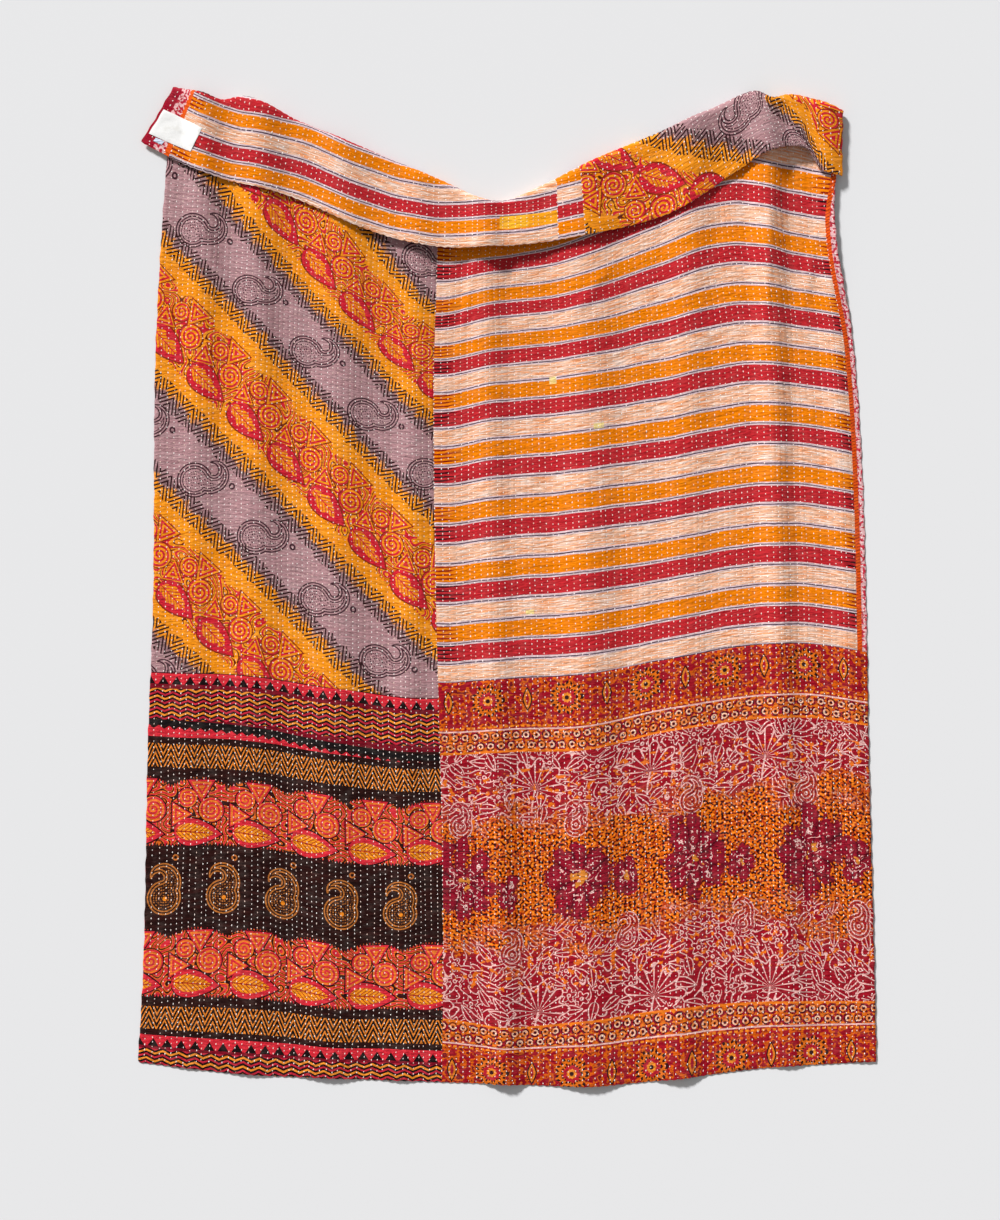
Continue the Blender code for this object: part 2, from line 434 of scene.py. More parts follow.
class Quilting:
    """The running stitch: its rows, their stitches and the relief that they pull in.

    Attributes:
        spacing_spread: Spread of the rows' spacing, as a share.
        pitch_spread: Spread of the rows' stitch pitch, as a share.
        margin: Least distance of the last row from the side.
        drift: Strength of the rows' sideways drift, in metres.
        pucker: Length of a pucker across and along, in metres, and its height in mm.
        ripple: The same for the wider ripples.
        crown: How far the cloth stands between the rows, as a share of the groove.
    """

    spacing_spread = 0.17
    pitch_spread = 0.05
    margin = 5 * MM
    drift = 1.1 * MM
    pucker = (0.022, 0.0052, 0.40)
    ripple = (0.035, 0.024, 0.36)
    crown = 0.35

    def __init__(self, seed: int = 11) -> None:
        """Spaces the rows and draws the puckers.

        Args:
            seed: Start of the random draws.
        """
        draw = np.random.default_rng(seed)
        spread = 1 + self.spacing_spread * draw.standard_normal(200)
        rows = np.cumsum(STITCH_SPACING * np.clip(spread, 0.72, 1.4))
        self.rows = rows[rows < WIDTH - self.margin] / WIDTH
        self.phase = draw.random(len(self.rows)) * STITCH_PITCH
        spread = 1 + self.pitch_spread * draw.standard_normal(len(self.rows))
        self.pitch = STITCH_PITCH * spread
        self.puckers = draw.standard_normal((420, 64))
        self.ripples = draw.standard_normal((90, 40))

    def wander(self, share: Grid, along: Grid) -> Grid:
        """How far the rows of stitches drift sideways, as a share: two slow waves."""
        wave = np.sin(along * 9.0 + share * 17.0) + 0.6 * np.sin(along * 23.0 - share * 31.0)
        return self.drift / WIDTH * wave

    @staticmethod
    def _cloud(noise: Grid, u: Grid, v: Grid) -> Grid:
        """Smooth random field: a lattice of draws read with eased steps.

        Args:
            noise: Random draws, rows by columns.
            u: Place across, in columns of the draws.
            v: Place along, in rows of the draws.

        Returns:
            The field at each place.
        """
        c = np.floor(u).astype(int)
        r = np.floor(v).astype(int)
        f, g = u - c, v - r
        f, g = f * f * (3 - 2 * f), g * g * (3 - 2 * g)
        rows, columns = noise.shape
        c0, c1, r0, r1 = c % columns, (c + 1) % columns, r % rows, (r + 1) % rows
        return ((noise[r0, c0] * (1 - f) + noise[r0, c1] * f) * (1 - g)
                + (noise[r1, c0] * (1 - f) + noise[r1, c1] * f) * g)

    def relief(self, share: Grid, along: Grid, groove: Grid) -> Grid:
        """Height of a layer's outer face over the middle surface.

        The cloth stands between the rows, is drawn down at them, and is
        crinkled across them.

        Args:
            share: Shares of the width.
            along: Distances from the hem, in metres.
            groove: 1 on a row of stitches, 0 between rows.

        Returns:
            Heights in metres.
        """
        crinkle = 0.0
        for (across, down, height), noise in (
            (self.pucker, self.puckers),
            (self.ripple, self.ripples),
        ):
            crinkle = crinkle + height * self._cloud(noise, share * WIDTH / across, along / down)
        swell = THICKNESS / 2 + crinkle * MM
        return np.maximum(swell + GROOVE_DEPTH * (self.crown - groove), LEAST_RELIEF)


class Shell:
    """A thin closed piece of cloth: a fine outer face, a coarse inner one and walls."""

    def __init__(self, name: str, outer: Grid, inner: Grid, uv: Grid, kept: Sequence[int]) -> None:
        """Builds the mesh and its object.

        Args:
            name: Name of the piece.
            outer: Points of the outer face, rows by columns, anticlockwise seen
                from outside when rows run down and columns to the right.
            inner: Points of the inner face on the same grid.
            uv: Cloth coordinates of the same grid, in metres.
            kept: Rows that the inner face shares, the first and last among them.
        """
        rows, columns = outer.shape[:2]
        number = np.arange(rows * columns).reshape(rows, columns)
        small = inner[kept]
        lower = np.arange(len(kept) * columns).reshape(len(kept), columns) + rows * columns
        corners = (number[:-1, :-1], number[1:, :-1], number[1:, 1:], number[:-1, 1:])
        fine = np.stack(corners, axis=-1)
        corners = (lower[:-1, :-1], lower[:-1, 1:], lower[1:, 1:], lower[1:, :-1])
        coarse = np.stack(corners, axis=-1)
        faces = fine.reshape(-1, 4).tolist() + coarse.reshape(-1, 4).tolist()
        from_end = [rows - 1 - row for row in kept[::-1]]
        every = list(range(columns))
        faces += self._wall(number[:, 0], lower[:, 0], kept)
        faces += self._wall(number[-1], lower[-1], every)
        faces += self._wall(number[::-1, -1], lower[::-1, -1], from_end)
        faces += self._wall(number[0, ::-1], lower[0, ::-1], every)
        points = np.concatenate([outer.reshape(-1, 3), small.reshape(-1, 3)])
        mesh = bpy.data.meshes.new(name)
        mesh.from_pydata(points.tolist(), [], faces)
        places = np.concatenate([uv.reshape(-1, 2), uv[kept].reshape(-1, 2)])
        corner = np.empty(len(mesh.loops), dtype=np.int32)
        mesh.loops.foreach_get("vertex_index", corner)
        layer = mesh.uv_layers.new(name="cloth")
        layer.data.foreach_set("uv", places[corner].astype(np.float32).ravel())
        mesh.shade_smooth()
        mesh.set_sharp_from_angle(angle=math.radians(60))
        self.object = placed(name, mesh)

    @staticmethod
    def _wall(fine: Grid, coarse: Grid, keep: Sequence[int]) -> list:
        """Faces of the wall along one side, one for each cell of the inner face.

        Args:
            fine: Numbers of the outer points along the side.
            coarse: Numbers of the inner points along the side.
            keep: Places in fine of the points that the inner face shares.

        Returns:
            A list of faces.
        """
        faces = []
        for step, (start, end) in enumerate(zip(keep, keep[1:])):
            run = fine[start:end + 1][::-1].tolist()
            faces.append(run + [int(coarse[step]), int(coarse[step + 1])])
        return faces


class Ink:
    """A number in a shader, with arithmetic that adds Math nodes to its tree."""

    def __init__(self, tree: bpy.types.NodeTree, socket: bpy.types.NodeSocket) -> None:
        """Wraps an output socket of the tree."""
        self.tree = tree
        self.socket = socket

    def _do(self, operation: str, *values: object) -> "Ink":
        """Adds one Math node.

        Args:
            operation: Its operation.
            values: Its inputs in order, numbers or other inks.

        Returns:
            The result.
        """
        node = self.tree.nodes.new("ShaderNodeMath")
        node.operation = operation
        for place, value in zip(node.inputs, values):
            if isinstance(value, Ink):
                self.tree.links.new(value.socket, place)
            else:
                place.default_value = value
        return Ink(self.tree, node.outputs[0])

    def __add__(self, other: object) -> "Ink":
        """Sum."""
        return self._do("ADD", self, other)

    def __radd__(self, other: float) -> "Ink":
        """Sum."""
        return self._do("ADD", other, self)

    def __sub__(self, other: object) -> "Ink":
        """Difference."""
        return self._do("SUBTRACT", self, other)

    def __rsub__(self, other: float) -> "Ink":
        """Difference."""
        return self._do("SUBTRACT", other, self)

    def __mul__(self, other: object) -> "Ink":
        """Product."""
        return self._do("MULTIPLY", self, other)

    def __rmul__(self, other: float) -> "Ink":
        """Product."""
        return self._do("MULTIPLY", other, self)

    def __truediv__(self, other: object) -> "Ink":
        """Quotient."""
        return self._do("DIVIDE", self, other)

    def __abs__(self) -> "Ink":
        """Size without sign."""
        return self._do("ABSOLUTE", self)

    def floor(self) -> "Ink":
        """Whole part."""
        return self._do("FLOOR", self)

    def fract(self) -> "Ink":
        """Part after the whole part."""
        return self._do("FRACT", self)

    def root(self) -> "Ink":
        """Square root."""
        return self._do("SQRT", self)

    def sine(self) -> "Ink":
        """Sine."""
        return self._do("SINE", self)

    def cosine(self) -> "Ink":
        """Cosine."""
        return self._do("COSINE", self)

    def turn(self, x: "Ink") -> "Ink":
        """Angle of the point (x, self), in turns from -0.5 to 0.5."""
        return self._do("ARCTAN2", self, x) * (0.5 / math.pi)

    def least(self, other: object) -> "Ink":
        """Smaller of the two."""
        return self._do("MINIMUM", self, other)

    def most(self, other: object) -> "Ink":
        """Larger of the two."""
        return self._do("MAXIMUM", self, other)

    def under(self, limit: object) -> "Ink":
        """1 where it is less than the limit, else 0."""
        return self._do("LESS_THAN", self, limit)

    def over(self, limit: object) -> "Ink":
        """1 where it is more than the limit, else 0."""
        return self._do("GREATER_THAN", self, limit)

    def near(self, centre: object, half: float) -> "Ink":
        """1 within half of the centre, else 0."""
        return self._do("COMPARE", self, centre, half)

    def between(self, low: float, high: float) -> "Ink":
        """1 from low to high, else 0."""
        return self.near((low + high) / 2, (high - low) / 2)

    def cell(self, size: float) -> "Ink":
        """Place from the nearest whole number of sizes."""
        return self._do("WRAP", self, size / 2, -size / 2)

    def wave(self, size: float) -> "Ink":
        """Triangle wave of that length, 0 at its troughs and 1 at its crests."""
        return self._do("PINGPONG", self * (2.0 / size), 1.0)

    def ease(self, low: float, high: float) -> "Ink":
        """Rises smoothly from 0 at low to 1 at high; falls if low is above high.

        Args:
            low: Value that gives 0.
            high: Value that gives 1.

        Returns:
            The eased number.
        """
        node = self.tree.nodes.new("ShaderNodeMapRange")
        node.interpolation_type = "SMOOTHSTEP"
        ends = (low, high, 0.0, 1.0) if low < high else (high, low, 1.0, 0.0)
        for index, value in enumerate(ends, start=1):
            node.inputs[index].default_value = value
        self.tree.links.new(self.socket, node.inputs[0])
        return Ink(self.tree, node.outputs[0])


def size_of(x: Ink, y: Ink) -> Ink:
    """Distance of the point (x, y) from the origin."""
    return (x * x + y * y).root()


def srgb(code: str) -> tuple:
    """Linear colour of a six-digit web colour.

    Args:
        code: Six hexadecimal digits.

    Returns:
        Red, green and blue from 0 to 1, linear, and 1.
    """
    values = [int(code[i:i + 2], 16) / 255 for i in (0, 2, 4)]
    linear = [v / 12.92 if v <= 0.04045 else ((v + 0.055) / 1.055) ** 2.4 for v in values]
    return (*linear, 1.0)


class Dye:
    """The colour of a print as it is built up, one block after the other."""

    def __init__(self, tree: bpy.types.NodeTree, ground: object) -> None:
        """Starts with a ground colour, a code or a socket."""
        self.tree = tree
        self.colour = srgb(ground) if isinstance(ground, str) else ground

    def block(self, mask: Ink, colour: object) -> "Dye":
        """Prints a colour where the mask is 1.

        Args:
            mask: Where to print, from 0 to 1.
            colour: A colour code or a socket.

        Returns:
            This dye.
        """
        node = self.tree.nodes.new("ShaderNodeMix")
        node.data_type = "RGBA"
        node.clamp_factor = True
        self.tree.links.new(mask.socket, node.inputs[0])
        for place, value in ((node.inputs[6], self.colour),
                             (node.inputs[7], srgb(colour) if isinstance(colour, str) else colour)):
            if isinstance(value, tuple):
                place.default_value = value
            else:
                self.tree.links.new(value, place)
        self.colour = node.outputs[2]
        return self


class Pad:
    """One material's tree and the cloth coordinates that its print reads."""

    def __init__(self, tree: bpy.types.NodeTree) -> None:
        """Adds the node that reads the panel's own UV map, x across and y down in metres.

        Args:
            tree: Node tree of the material.
        """
        self.tree = tree
        source = tree.nodes.new("ShaderNodeUVMap")
        source.uv_map = "cloth"
        self.uv = source.outputs[0]
        split = tree.nodes.new("ShaderNodeSeparateXYZ")
        tree.links.new(self.uv, split.inputs[0])
        self.x = Ink(tree, split.outputs[0])
        self.y = Ink(tree, split.outputs[1])

    def _scaled(self, across: float, down: float, shift: float = 0.0) -> bpy.types.NodeSocket:
        """The cloth coordinates times a scale each way, and moved by a shift.

        Args:
            across: Scale across.
            down: Scale down.
            shift: Shift both ways, after the scale.

        Returns:
            The socket with the new coordinates.
        """
        node = self.tree.nodes.new("ShaderNodeMapping")
        node.inputs["Scale"].default_value = (across, down, 1.0)
        node.inputs["Location"].default_value = (shift, shift, 0.0)
        self.tree.links.new(self.uv, node.inputs["Vector"])
        return node.outputs[0]

    def noise(self, across: float, down: float, detail: float = 1.0, shift: float = 0.0) -> Ink:
        """Smooth noise from 0 to 1.

        Args:
            across: Lumps for each metre across.
            down: Lumps for each metre down.
            detail: Finer layers.
            shift: Moves it, so that two of one scale differ.

        Returns:
            The noise.
        """
        place = self._scaled(across, down, shift)
        node = self.tree.nodes.new("ShaderNodeTexNoise")
        node.noise_dimensions = "2D"
        node.inputs["Scale"].default_value = 1.0
        node.inputs["Detail"].default_value = detail
        self.tree.links.new(place, node.inputs["Vector"])
        return Ink(self.tree, node.outputs[0])

    def scatter(self, pitch: float, stray: float) -> tuple:
        """Random places about a pitch apart.

        Args:
            pitch: Distance between places, in metres.
            stray: How far they leave an even grid, from 0 to 1.

        Returns:
            x and y from the nearest place, and a random number for it.
        """
        place = self._scaled(1 / pitch, 1 / pitch)
        node = self.tree.nodes.new("ShaderNodeTexVoronoi")
        node.voronoi_dimensions = "2D"
        node.inputs["Scale"].default_value = 1.0
        node.inputs["Randomness"].default_value = stray
        self.tree.links.new(place, node.inputs["Vector"])
        split = self.tree.nodes.new("ShaderNodeSeparateXYZ")
        self.tree.links.new(node.outputs["Position"], split.inputs[0])
        dx = self.x - Ink(self.tree, split.outputs[0]) * pitch
        dy = self.y - Ink(self.tree, split.outputs[1]) * pitch
        tint = self.tree.nodes.new("ShaderNodeSeparateColor")
        self.tree.links.new(node.outputs["Color"], tint.inputs[0])
        return dx, dy, Ink(self.tree, tint.outputs[0])


class Motif:
    """Carved block motifs. Each reads a place from its own middle, in metres, y down."""

    @staticmethod
    def turned(x: Ink, y: Ink, degrees: float) -> tuple:
        """The place (x, y) read on axes turned clockwise."""
        cosine, sine = math.cos(math.radians(degrees)), math.sin(math.radians(degrees))
        return x * cosine + y * sine, y * cosine - x * sine

    @staticmethod
    def spiral(x: Ink, y: Ink, radius: float, pitch: float) -> tuple:
        """A coil: distance outside its disc, and its line.

        The line is where distance less angle is early in each pitch.
        """
        far = size_of(x, y)
        return far - radius, (far / pitch - y.turn(x)).fract().under(0.5)

    @staticmethod
    def triangle(x: Ink, y: Ink, radius: float, pitch: float) -> tuple:
        """Nested triangles that point down: distance outside them, and their lines."""
        far = (abs(x) * 0.866 + y * 0.5).most(y * -1.0)
        return far - radius / 2, (far / pitch).fract().under(0.5)

    @staticmethod
    def leaf(x: Ink, y: Ink, length: float, width: float) -> Ink:
        """Distance outside a drop that points right: half its width is root of t times 1 - t."""
        t = x / length + 0.5
        return abs(y) - t.root() * (1.0 - t) * (1.3 * width)

    @staticmethod
    def paisley(x: Ink, y: Ink, size: float) -> Ink:
        """Distance outside a bent drop: a disc, and an arc over it that thins towards its tip.

        Args:
            x: Place across from its middle.
            y: Place down from its middle.
            size: Height of the drop.

        Returns:
            The distance, less than 0 inside.
        """
        disc = size_of(x - 0.02 * size, y - 0.17 * size) - 0.28 * size
        u, v = x + 0.05 * size, -0.13 * size - y
        turn = v.turn(u)
        arc = abs(size_of(u, v) + turn * (0.11 * size) - 0.20 * size)
        return disc.least(arc - (0.145 * size - turn * (0.27 * size)) * turn.over(-0.2))

    @staticmethod
    def zigzag(x: Ink, y: Ink, length: float, height: float, pitch: float, share: float) -> Ink:
        """Stack of zigzag lines: the place down plus a triangle wave, in steps."""
        return ((y + x.wave(length) * height) / pitch).fract().under(share)

    @staticmethod
    def ring(far: Ink, radius: float, half: float) -> Ink:
        """1 within half a line's width of a radius."""
        return abs(far - radius).under(half)

    @staticmethod
    def beaded(x: Ink, y: Ink, far: Ink, pitch: float, gap: float, rim: float) -> Ink:
        """Lines inside a form that follow its outline, whole in its rim and beaded further in.

        Args:
            x: Place across from its middle.
            y: Place down from its middle.
            far: Distance outside the form.
            pitch: Distance between lines.
            gap: Share of the pitch that stays bare.
            rim: Width of the rim.

        Returns:
            1 on the lines, else 0.
        """
        bead, filled = 4.6 * MM, 0.62
        beads = (x / bead).fract().under(filled) * (y / bead).fract().under(filled)
        beads = beads.most(far.over(-rim))
        return far.under(0.0) * (far / pitch).fract().over(gap) * beads

    @staticmethod
    def lobes(x: Ink, y: Ink, count: int, radius: float, depth: float) -> tuple:
        """Distance from the middle, and the edge of a flower of round petals with sharp notches."""
        swell = abs((y.turn(x) * (math.pi * count)).cosine()).root()
        return size_of(x, y), (swell * depth + (1.0 - depth)) * radius

    @staticmethod
    def petals(x: Ink, y: Ink, count: int, radius: float, depth: float) -> tuple:
        """Distance from the middle, and the edge of a round flower with that many petals."""
        return size_of(x, y), ((y.turn(x) * (2 * math.pi * count)).cosine() * depth + 1.0) * radius


class Chain:
    """One cell of the folk chain: nested triangles, two coils and a veined leaf.

    Its masks are the body with its scalloped top, the area and lines of the
    coils and triangles, the leaf with its core and veins, and the halo that
    outlines them all.
    """

    outline = 2.2 * MM
    leaf_outline = 3.0 * MM
    height = 0.134

    def __init__(self, x: Ink, y: Ink, cell: float, rim: object) -> None:
        """Works out the masks.

        Args:
            x: Place along the chain.
            y: Place down from the chain's top.
            cell: Length of a cell.
            rim: Width of the leaf's rim.
        """
        fringe = x.wave(6.0 * MM) * (6.5 * MM)
        x = x.cell(cell)
        top = x * x * 5.2
        self.body = (y - top - fringe).over(0.0) * (y + fringe).under(self.height)
        outside, self.lines = Motif.spiral(x - 0.023, y - 0.064, 0.024, 8.4 * MM)
        self.area, self.halo = outside.under(0.0), outside.under(self.outline)
        for outside, lines in (
            Motif.spiral(x + 0.023, y - 0.041, 0.0185, 7.4 * MM),
            Motif.triangle(x - 0.004, y - 0.021, 0.030, 7.6 * MM),
            Motif.triangle(y - 0.073, x + 0.040, 0.027, 7.6 * MM),
        ):
            area = outside.under(0.0)
            self.lines = self.lines * (1.0 - area) + lines * area
            self.area = self.area.most(area)
            self.halo = self.halo.most(outside.under(self.outline))
        self.lines = self.lines * self.area
        u, v = Motif.turned(x + 0.002, y - 0.108, 4.0)
        far = Motif.leaf(u, v, 0.092, 0.053)
        self.leaf = far.under(0.0)
        self.halo = self.halo.most(far.under(self.leaf_outline))
        self.core = (far + rim).under(0.0)
        veins = ((u - abs(v) * 1.2) / (9.0 * MM)).fract().under(0.26)
        self.veins = veins.most(abs(v).under(1.1 * MM)) * self.core

    def lay(self, dye: Dye, colours: tuple) -> None:
        """Lays all but the body.

        Args:
            dye: Colour that they are laid on.
            colours: Colours of the halo, the area and its lines, the leaf, its core and veins.
        """
        masks = (self.halo, self.area, self.lines, self.leaf, self.core, self.veins)
        for mask, colour in zip(masks, colours):
            dye.block(mask, colour)


class Print(ABC):
    """A printed cotton."""

    @abstractmethod
    def dye(self, pad: Pad) -> Dye:
        """Lays the print down.

        Args:
            pad: Tree and cloth coordinates.

        Returns:
            The finished colour.
        """


@dataclass(frozen=True)
class StripePrint(Print):
    """Woven stripes of red, peach and marigold with pale lines between them.

    Attributes:
        period: Height of the three stripes together.
        start: Distance down the panel of the top of a red stripe.
        slant: Drop of the stripes for each metre across.
        left: Where the stripes begin; short dashes mark both ends.
        right: Where they end.
        rim: True for a rim, lace and a cord line left of the stripes.
        selvedge: True for a cord line and lace that shows right of them.
        mends: Middles and sizes of small pale darns.
        inset: Left, right, top and bottom of a brighter piece.
        line_half: Half the width of a pale line, and of the dark one in it.
        turn_half: The same at the foot of a period.
        rim_steps: How far left of the stripes the rim's lace and plain edge begin.
        cord_width: Width of the selvedge's cord.
    """

    period: float
    start: float
    slant: float = 0.0
    left: float = 0.0
    right: float = 0.826
    rim: bool = False
    selvedge: bool = False
    mends: tuple = ()
    inset: tuple = ()
    line_half: tuple = (4.0 * MM, 1.1 * MM)
    turn_half: tuple = (3.6 * MM, 0.9 * MM)
    rim_steps: tuple = (9 * MM, 29 * MM)
    cord_width: float = 9.5 * MM
    red: str = "c2282f"
    peach: str = "efb795"
    marigold: str = "ee7f00"
    line: str = "dcc2c6"
    dark: str = "513b4b"
    cord: str = "ec5a12"

    def dye(self, pad: Pad) -> Dye:
        """Bands from the place within a period, then streaks, end dashes and edges.

        Args:
            pad: Tree and cloth coordinates.

        Returns:
            The finished colour.
        """
        streak = pad.noise(26.0, 420.0, 2.0)
        jump = pad.noise(0.0, 320.0, 1.0)
        waver = (pad.noise(14.0, 3.0, 0.0) - 0.5) * 0.004
        lace = pad.noise(150.0, 150.0, 1.0)
        x, y = pad.x, pad.y
        place = ((y + waver - x * self.slant - self.start) / self.period).fract() * self.period
        third = self.period / 3
        dye = Dye(pad.tree, self.red)
        dye.block(streak.ease(0.45, 0.70) * 0.35, "9c1424")
        peach = Dye(pad.tree, self.peach)
        peach.block(streak.ease(0.50, 0.66) * 0.85, "fbe3d6")
        peach.block(streak.ease(0.46, 0.34), "f09a68")
        dye.block(place.between(third, 2 * third), peach.colour)
        gold = Dye(pad.tree, self.marigold)
        gold.block(streak.ease(0.52, 0.72) * 0.5, "fb9614")
        dye.block(place.over(2 * third), gold.colour)
        ends = (x - self.left).least(self.right - x)
        dash = ends.under(jump * 0.10 - 0.016) * (y / (7.6 * MM)).fract().under(0.42)
        dye.block(dash * place.over(2 * third), "97200f")
        dye.block(dash * place.under(third), "2a0a12")
        edge = abs(place - 1.5 * third) - third / 2
        dye.block(abs(edge).under(self.line_half[0]), self.line)
        dye.block(abs(edge + 0.6 * MM).under(self.line_half[1]), self.dark)
        turn = abs(place - self.period / 2) - self.period / 2
        dye.block(turn.over(-self.turn_half[0]), self.line)
        dye.block(turn.over(-self.turn_half[1]), self.dark)
        for middle_x, middle_y, width, height in self.mends:
            spot = abs(x - middle_x).under(width / 2) * abs(y - middle_y).under(height / 2)
            dye.block(spot * 0.85, "f5dc8c")
        if self.inset:
            left, right, top, bottom = self.inset
            inside = x.between(left, right) * y.between(top, bottom)
            dye.block(inside, "ffa51a")
            dye.block(inside * (x - left).under((right - left) / 2), "ffb62e")
        if self.rim:
            lace_start, plain_start = self.rim_steps
            dye.block(x.under(self.left), self.cord)
            dye.block(x.under(self.left - lace_start), "eeb9ba")
            dye.block(x.under(self.left - lace_start) * lace.ease(0.46, 0.54), "c02638")
            dye.block(x.under(self.left - plain_start), "a5142c")
        if self.selvedge:
            swell = y.ease(0.27, 0.42) * y.ease(0.60, 0.46) * 0.004 + y.ease(0.24, 0.34) * 0.010
            beyond = swell + x - self.right
            cord = beyond.over(-self.cord_width)
            dye.block(cord, self.cord)
            twist = ((y + x * 0.6) / (6.0 * MM)).fract().under(0.3)
            dye.block(cord * twist, "b93a14")
            dye.block(beyond.over(0.0), "f0bcbe")
            dye.block(beyond.over(0.0) * lace.ease(0.50, 0.57), "cf3347")
        return dye


@dataclass(frozen=True)
class DiagonalPrint(Print):
    """Slanting bands: mauve with paisleys, marigold with the folk chain, zigzags between.

    Attributes:
        slope: Fall of the bands to the right, in degrees.
        period: Height of a mauve and a marigold band, square to them.
        start: Place of the middle of a mauve band, square to the bands.
        half: Half the height of a mauve band.
        drop: Distance between paisleys along a band.
        drop_start: Place of a paisley.
        lean: Turn of the paisleys in degrees.
        cell: Distance between leaves.
        cell_start: Place of a leaf.
        tuck: Where a pinch takes up some of the cloth's width.
        chain_gap: Distance from a mauve band down to the chain.
        paisley: Size of a paisley.
        stack: Length, height, pitch and share of line of the zigzag borders.
        stack_half: Half the height of a zigzag border.
    """

    slope: float = 39.2
    period: float = 0.358
    start: float = 0.230
    half: float = 0.0665
    drop: float = 0.158
    drop_start: float = 0.140
    lean: float = 36.0
    cell: float = 0.107
    cell_start: float = 0.079
    tuck: float = 9.0
    chain_gap: float = 0.045
    paisley: float = 0.118
    stack: tuple = (0.0450, 0.036, 0.0128, 0.46)
    stack_half: float = 0.0225
    mauve: str = "b08488"
    marigold: str = "f39012"
    crimson: str = "cf2233"
    brown: str = "33191a"
    plum: str = "452930"

    def dye(self, pad: Pad) -> Dye:
        """Grounds, then the chain, the paisleys and the zigzag borders.

        Args:
            pad: Tree and cloth coordinates.

        Returns:
            The finished colour.
        """
        ragged = pad.noise(60.0, 60.0, 1.0)
        filler = pad.noise(25.0, 25.0, 0.0, 3.0)
        tint = pad.noise(12.0, 160.0, 1.0)
        along, across = Motif.turned(pad.x + pad.x.over(self.tuck) * 0.045, pad.y, self.slope)
        down = (across - self.start).cell(self.period)
        border = abs(down) - self.half
        gold = Dye(pad.tree, self.marigold)
        gold.block(tint.ease(0.40, 0.68) * 0.6, "fba32c")
        below = down + down.under(0.0) * self.period
        rim = (ragged - 0.5) * 0.020 + 0.012
        top = self.half + self.chain_gap
        chain = Chain(along - self.cell_start, below - top, self.cell, rim)
        line = (filler * 6.5).fract()
        gold.block(chain.body * line.under(0.34), self.crimson)
        gold.block(chain.body * line.between(0.52, 0.66), "6a2010")
        red, yellow = self.crimson, self.marigold
        chain.lay(gold, ("8c2a12", yellow, red, red, yellow, red))
        dye = Dye(pad.tree, self.mauve)
        dye.block(tint.ease(0.35, 0.65) * 0.4, "bc9c9e")
        u, v = Motif.turned((along - self.drop_start).cell(self.drop), down, self.lean)
        far = Motif.paisley(u, v * 0.90, self.paisley)
        dye.block(Motif.beaded(u, v, far, 5.2 * MM, 0.48, 12.0 * MM), self.plum)
        dye.block(Motif.ring(size_of(u - 0.029, v + 0.050), 4.6 * MM, 1.9 * MM), self.plum)
        dye.block(abs(border + 6 * MM).ease(0.014, 0.0) * 0.5, "6e5152")
        dye.block((border + (ragged - 0.5) * 0.030).ease(-6.0 * MM, 6.0 * MM), gold.colour)
        stack = Motif.zigzag(along, down, *self.stack)
        zone = abs(border - 1 * MM + (ragged - 0.5) * 0.016).under(self.stack_half)
        dye.block(stack * zone, self.brown)
        return dye


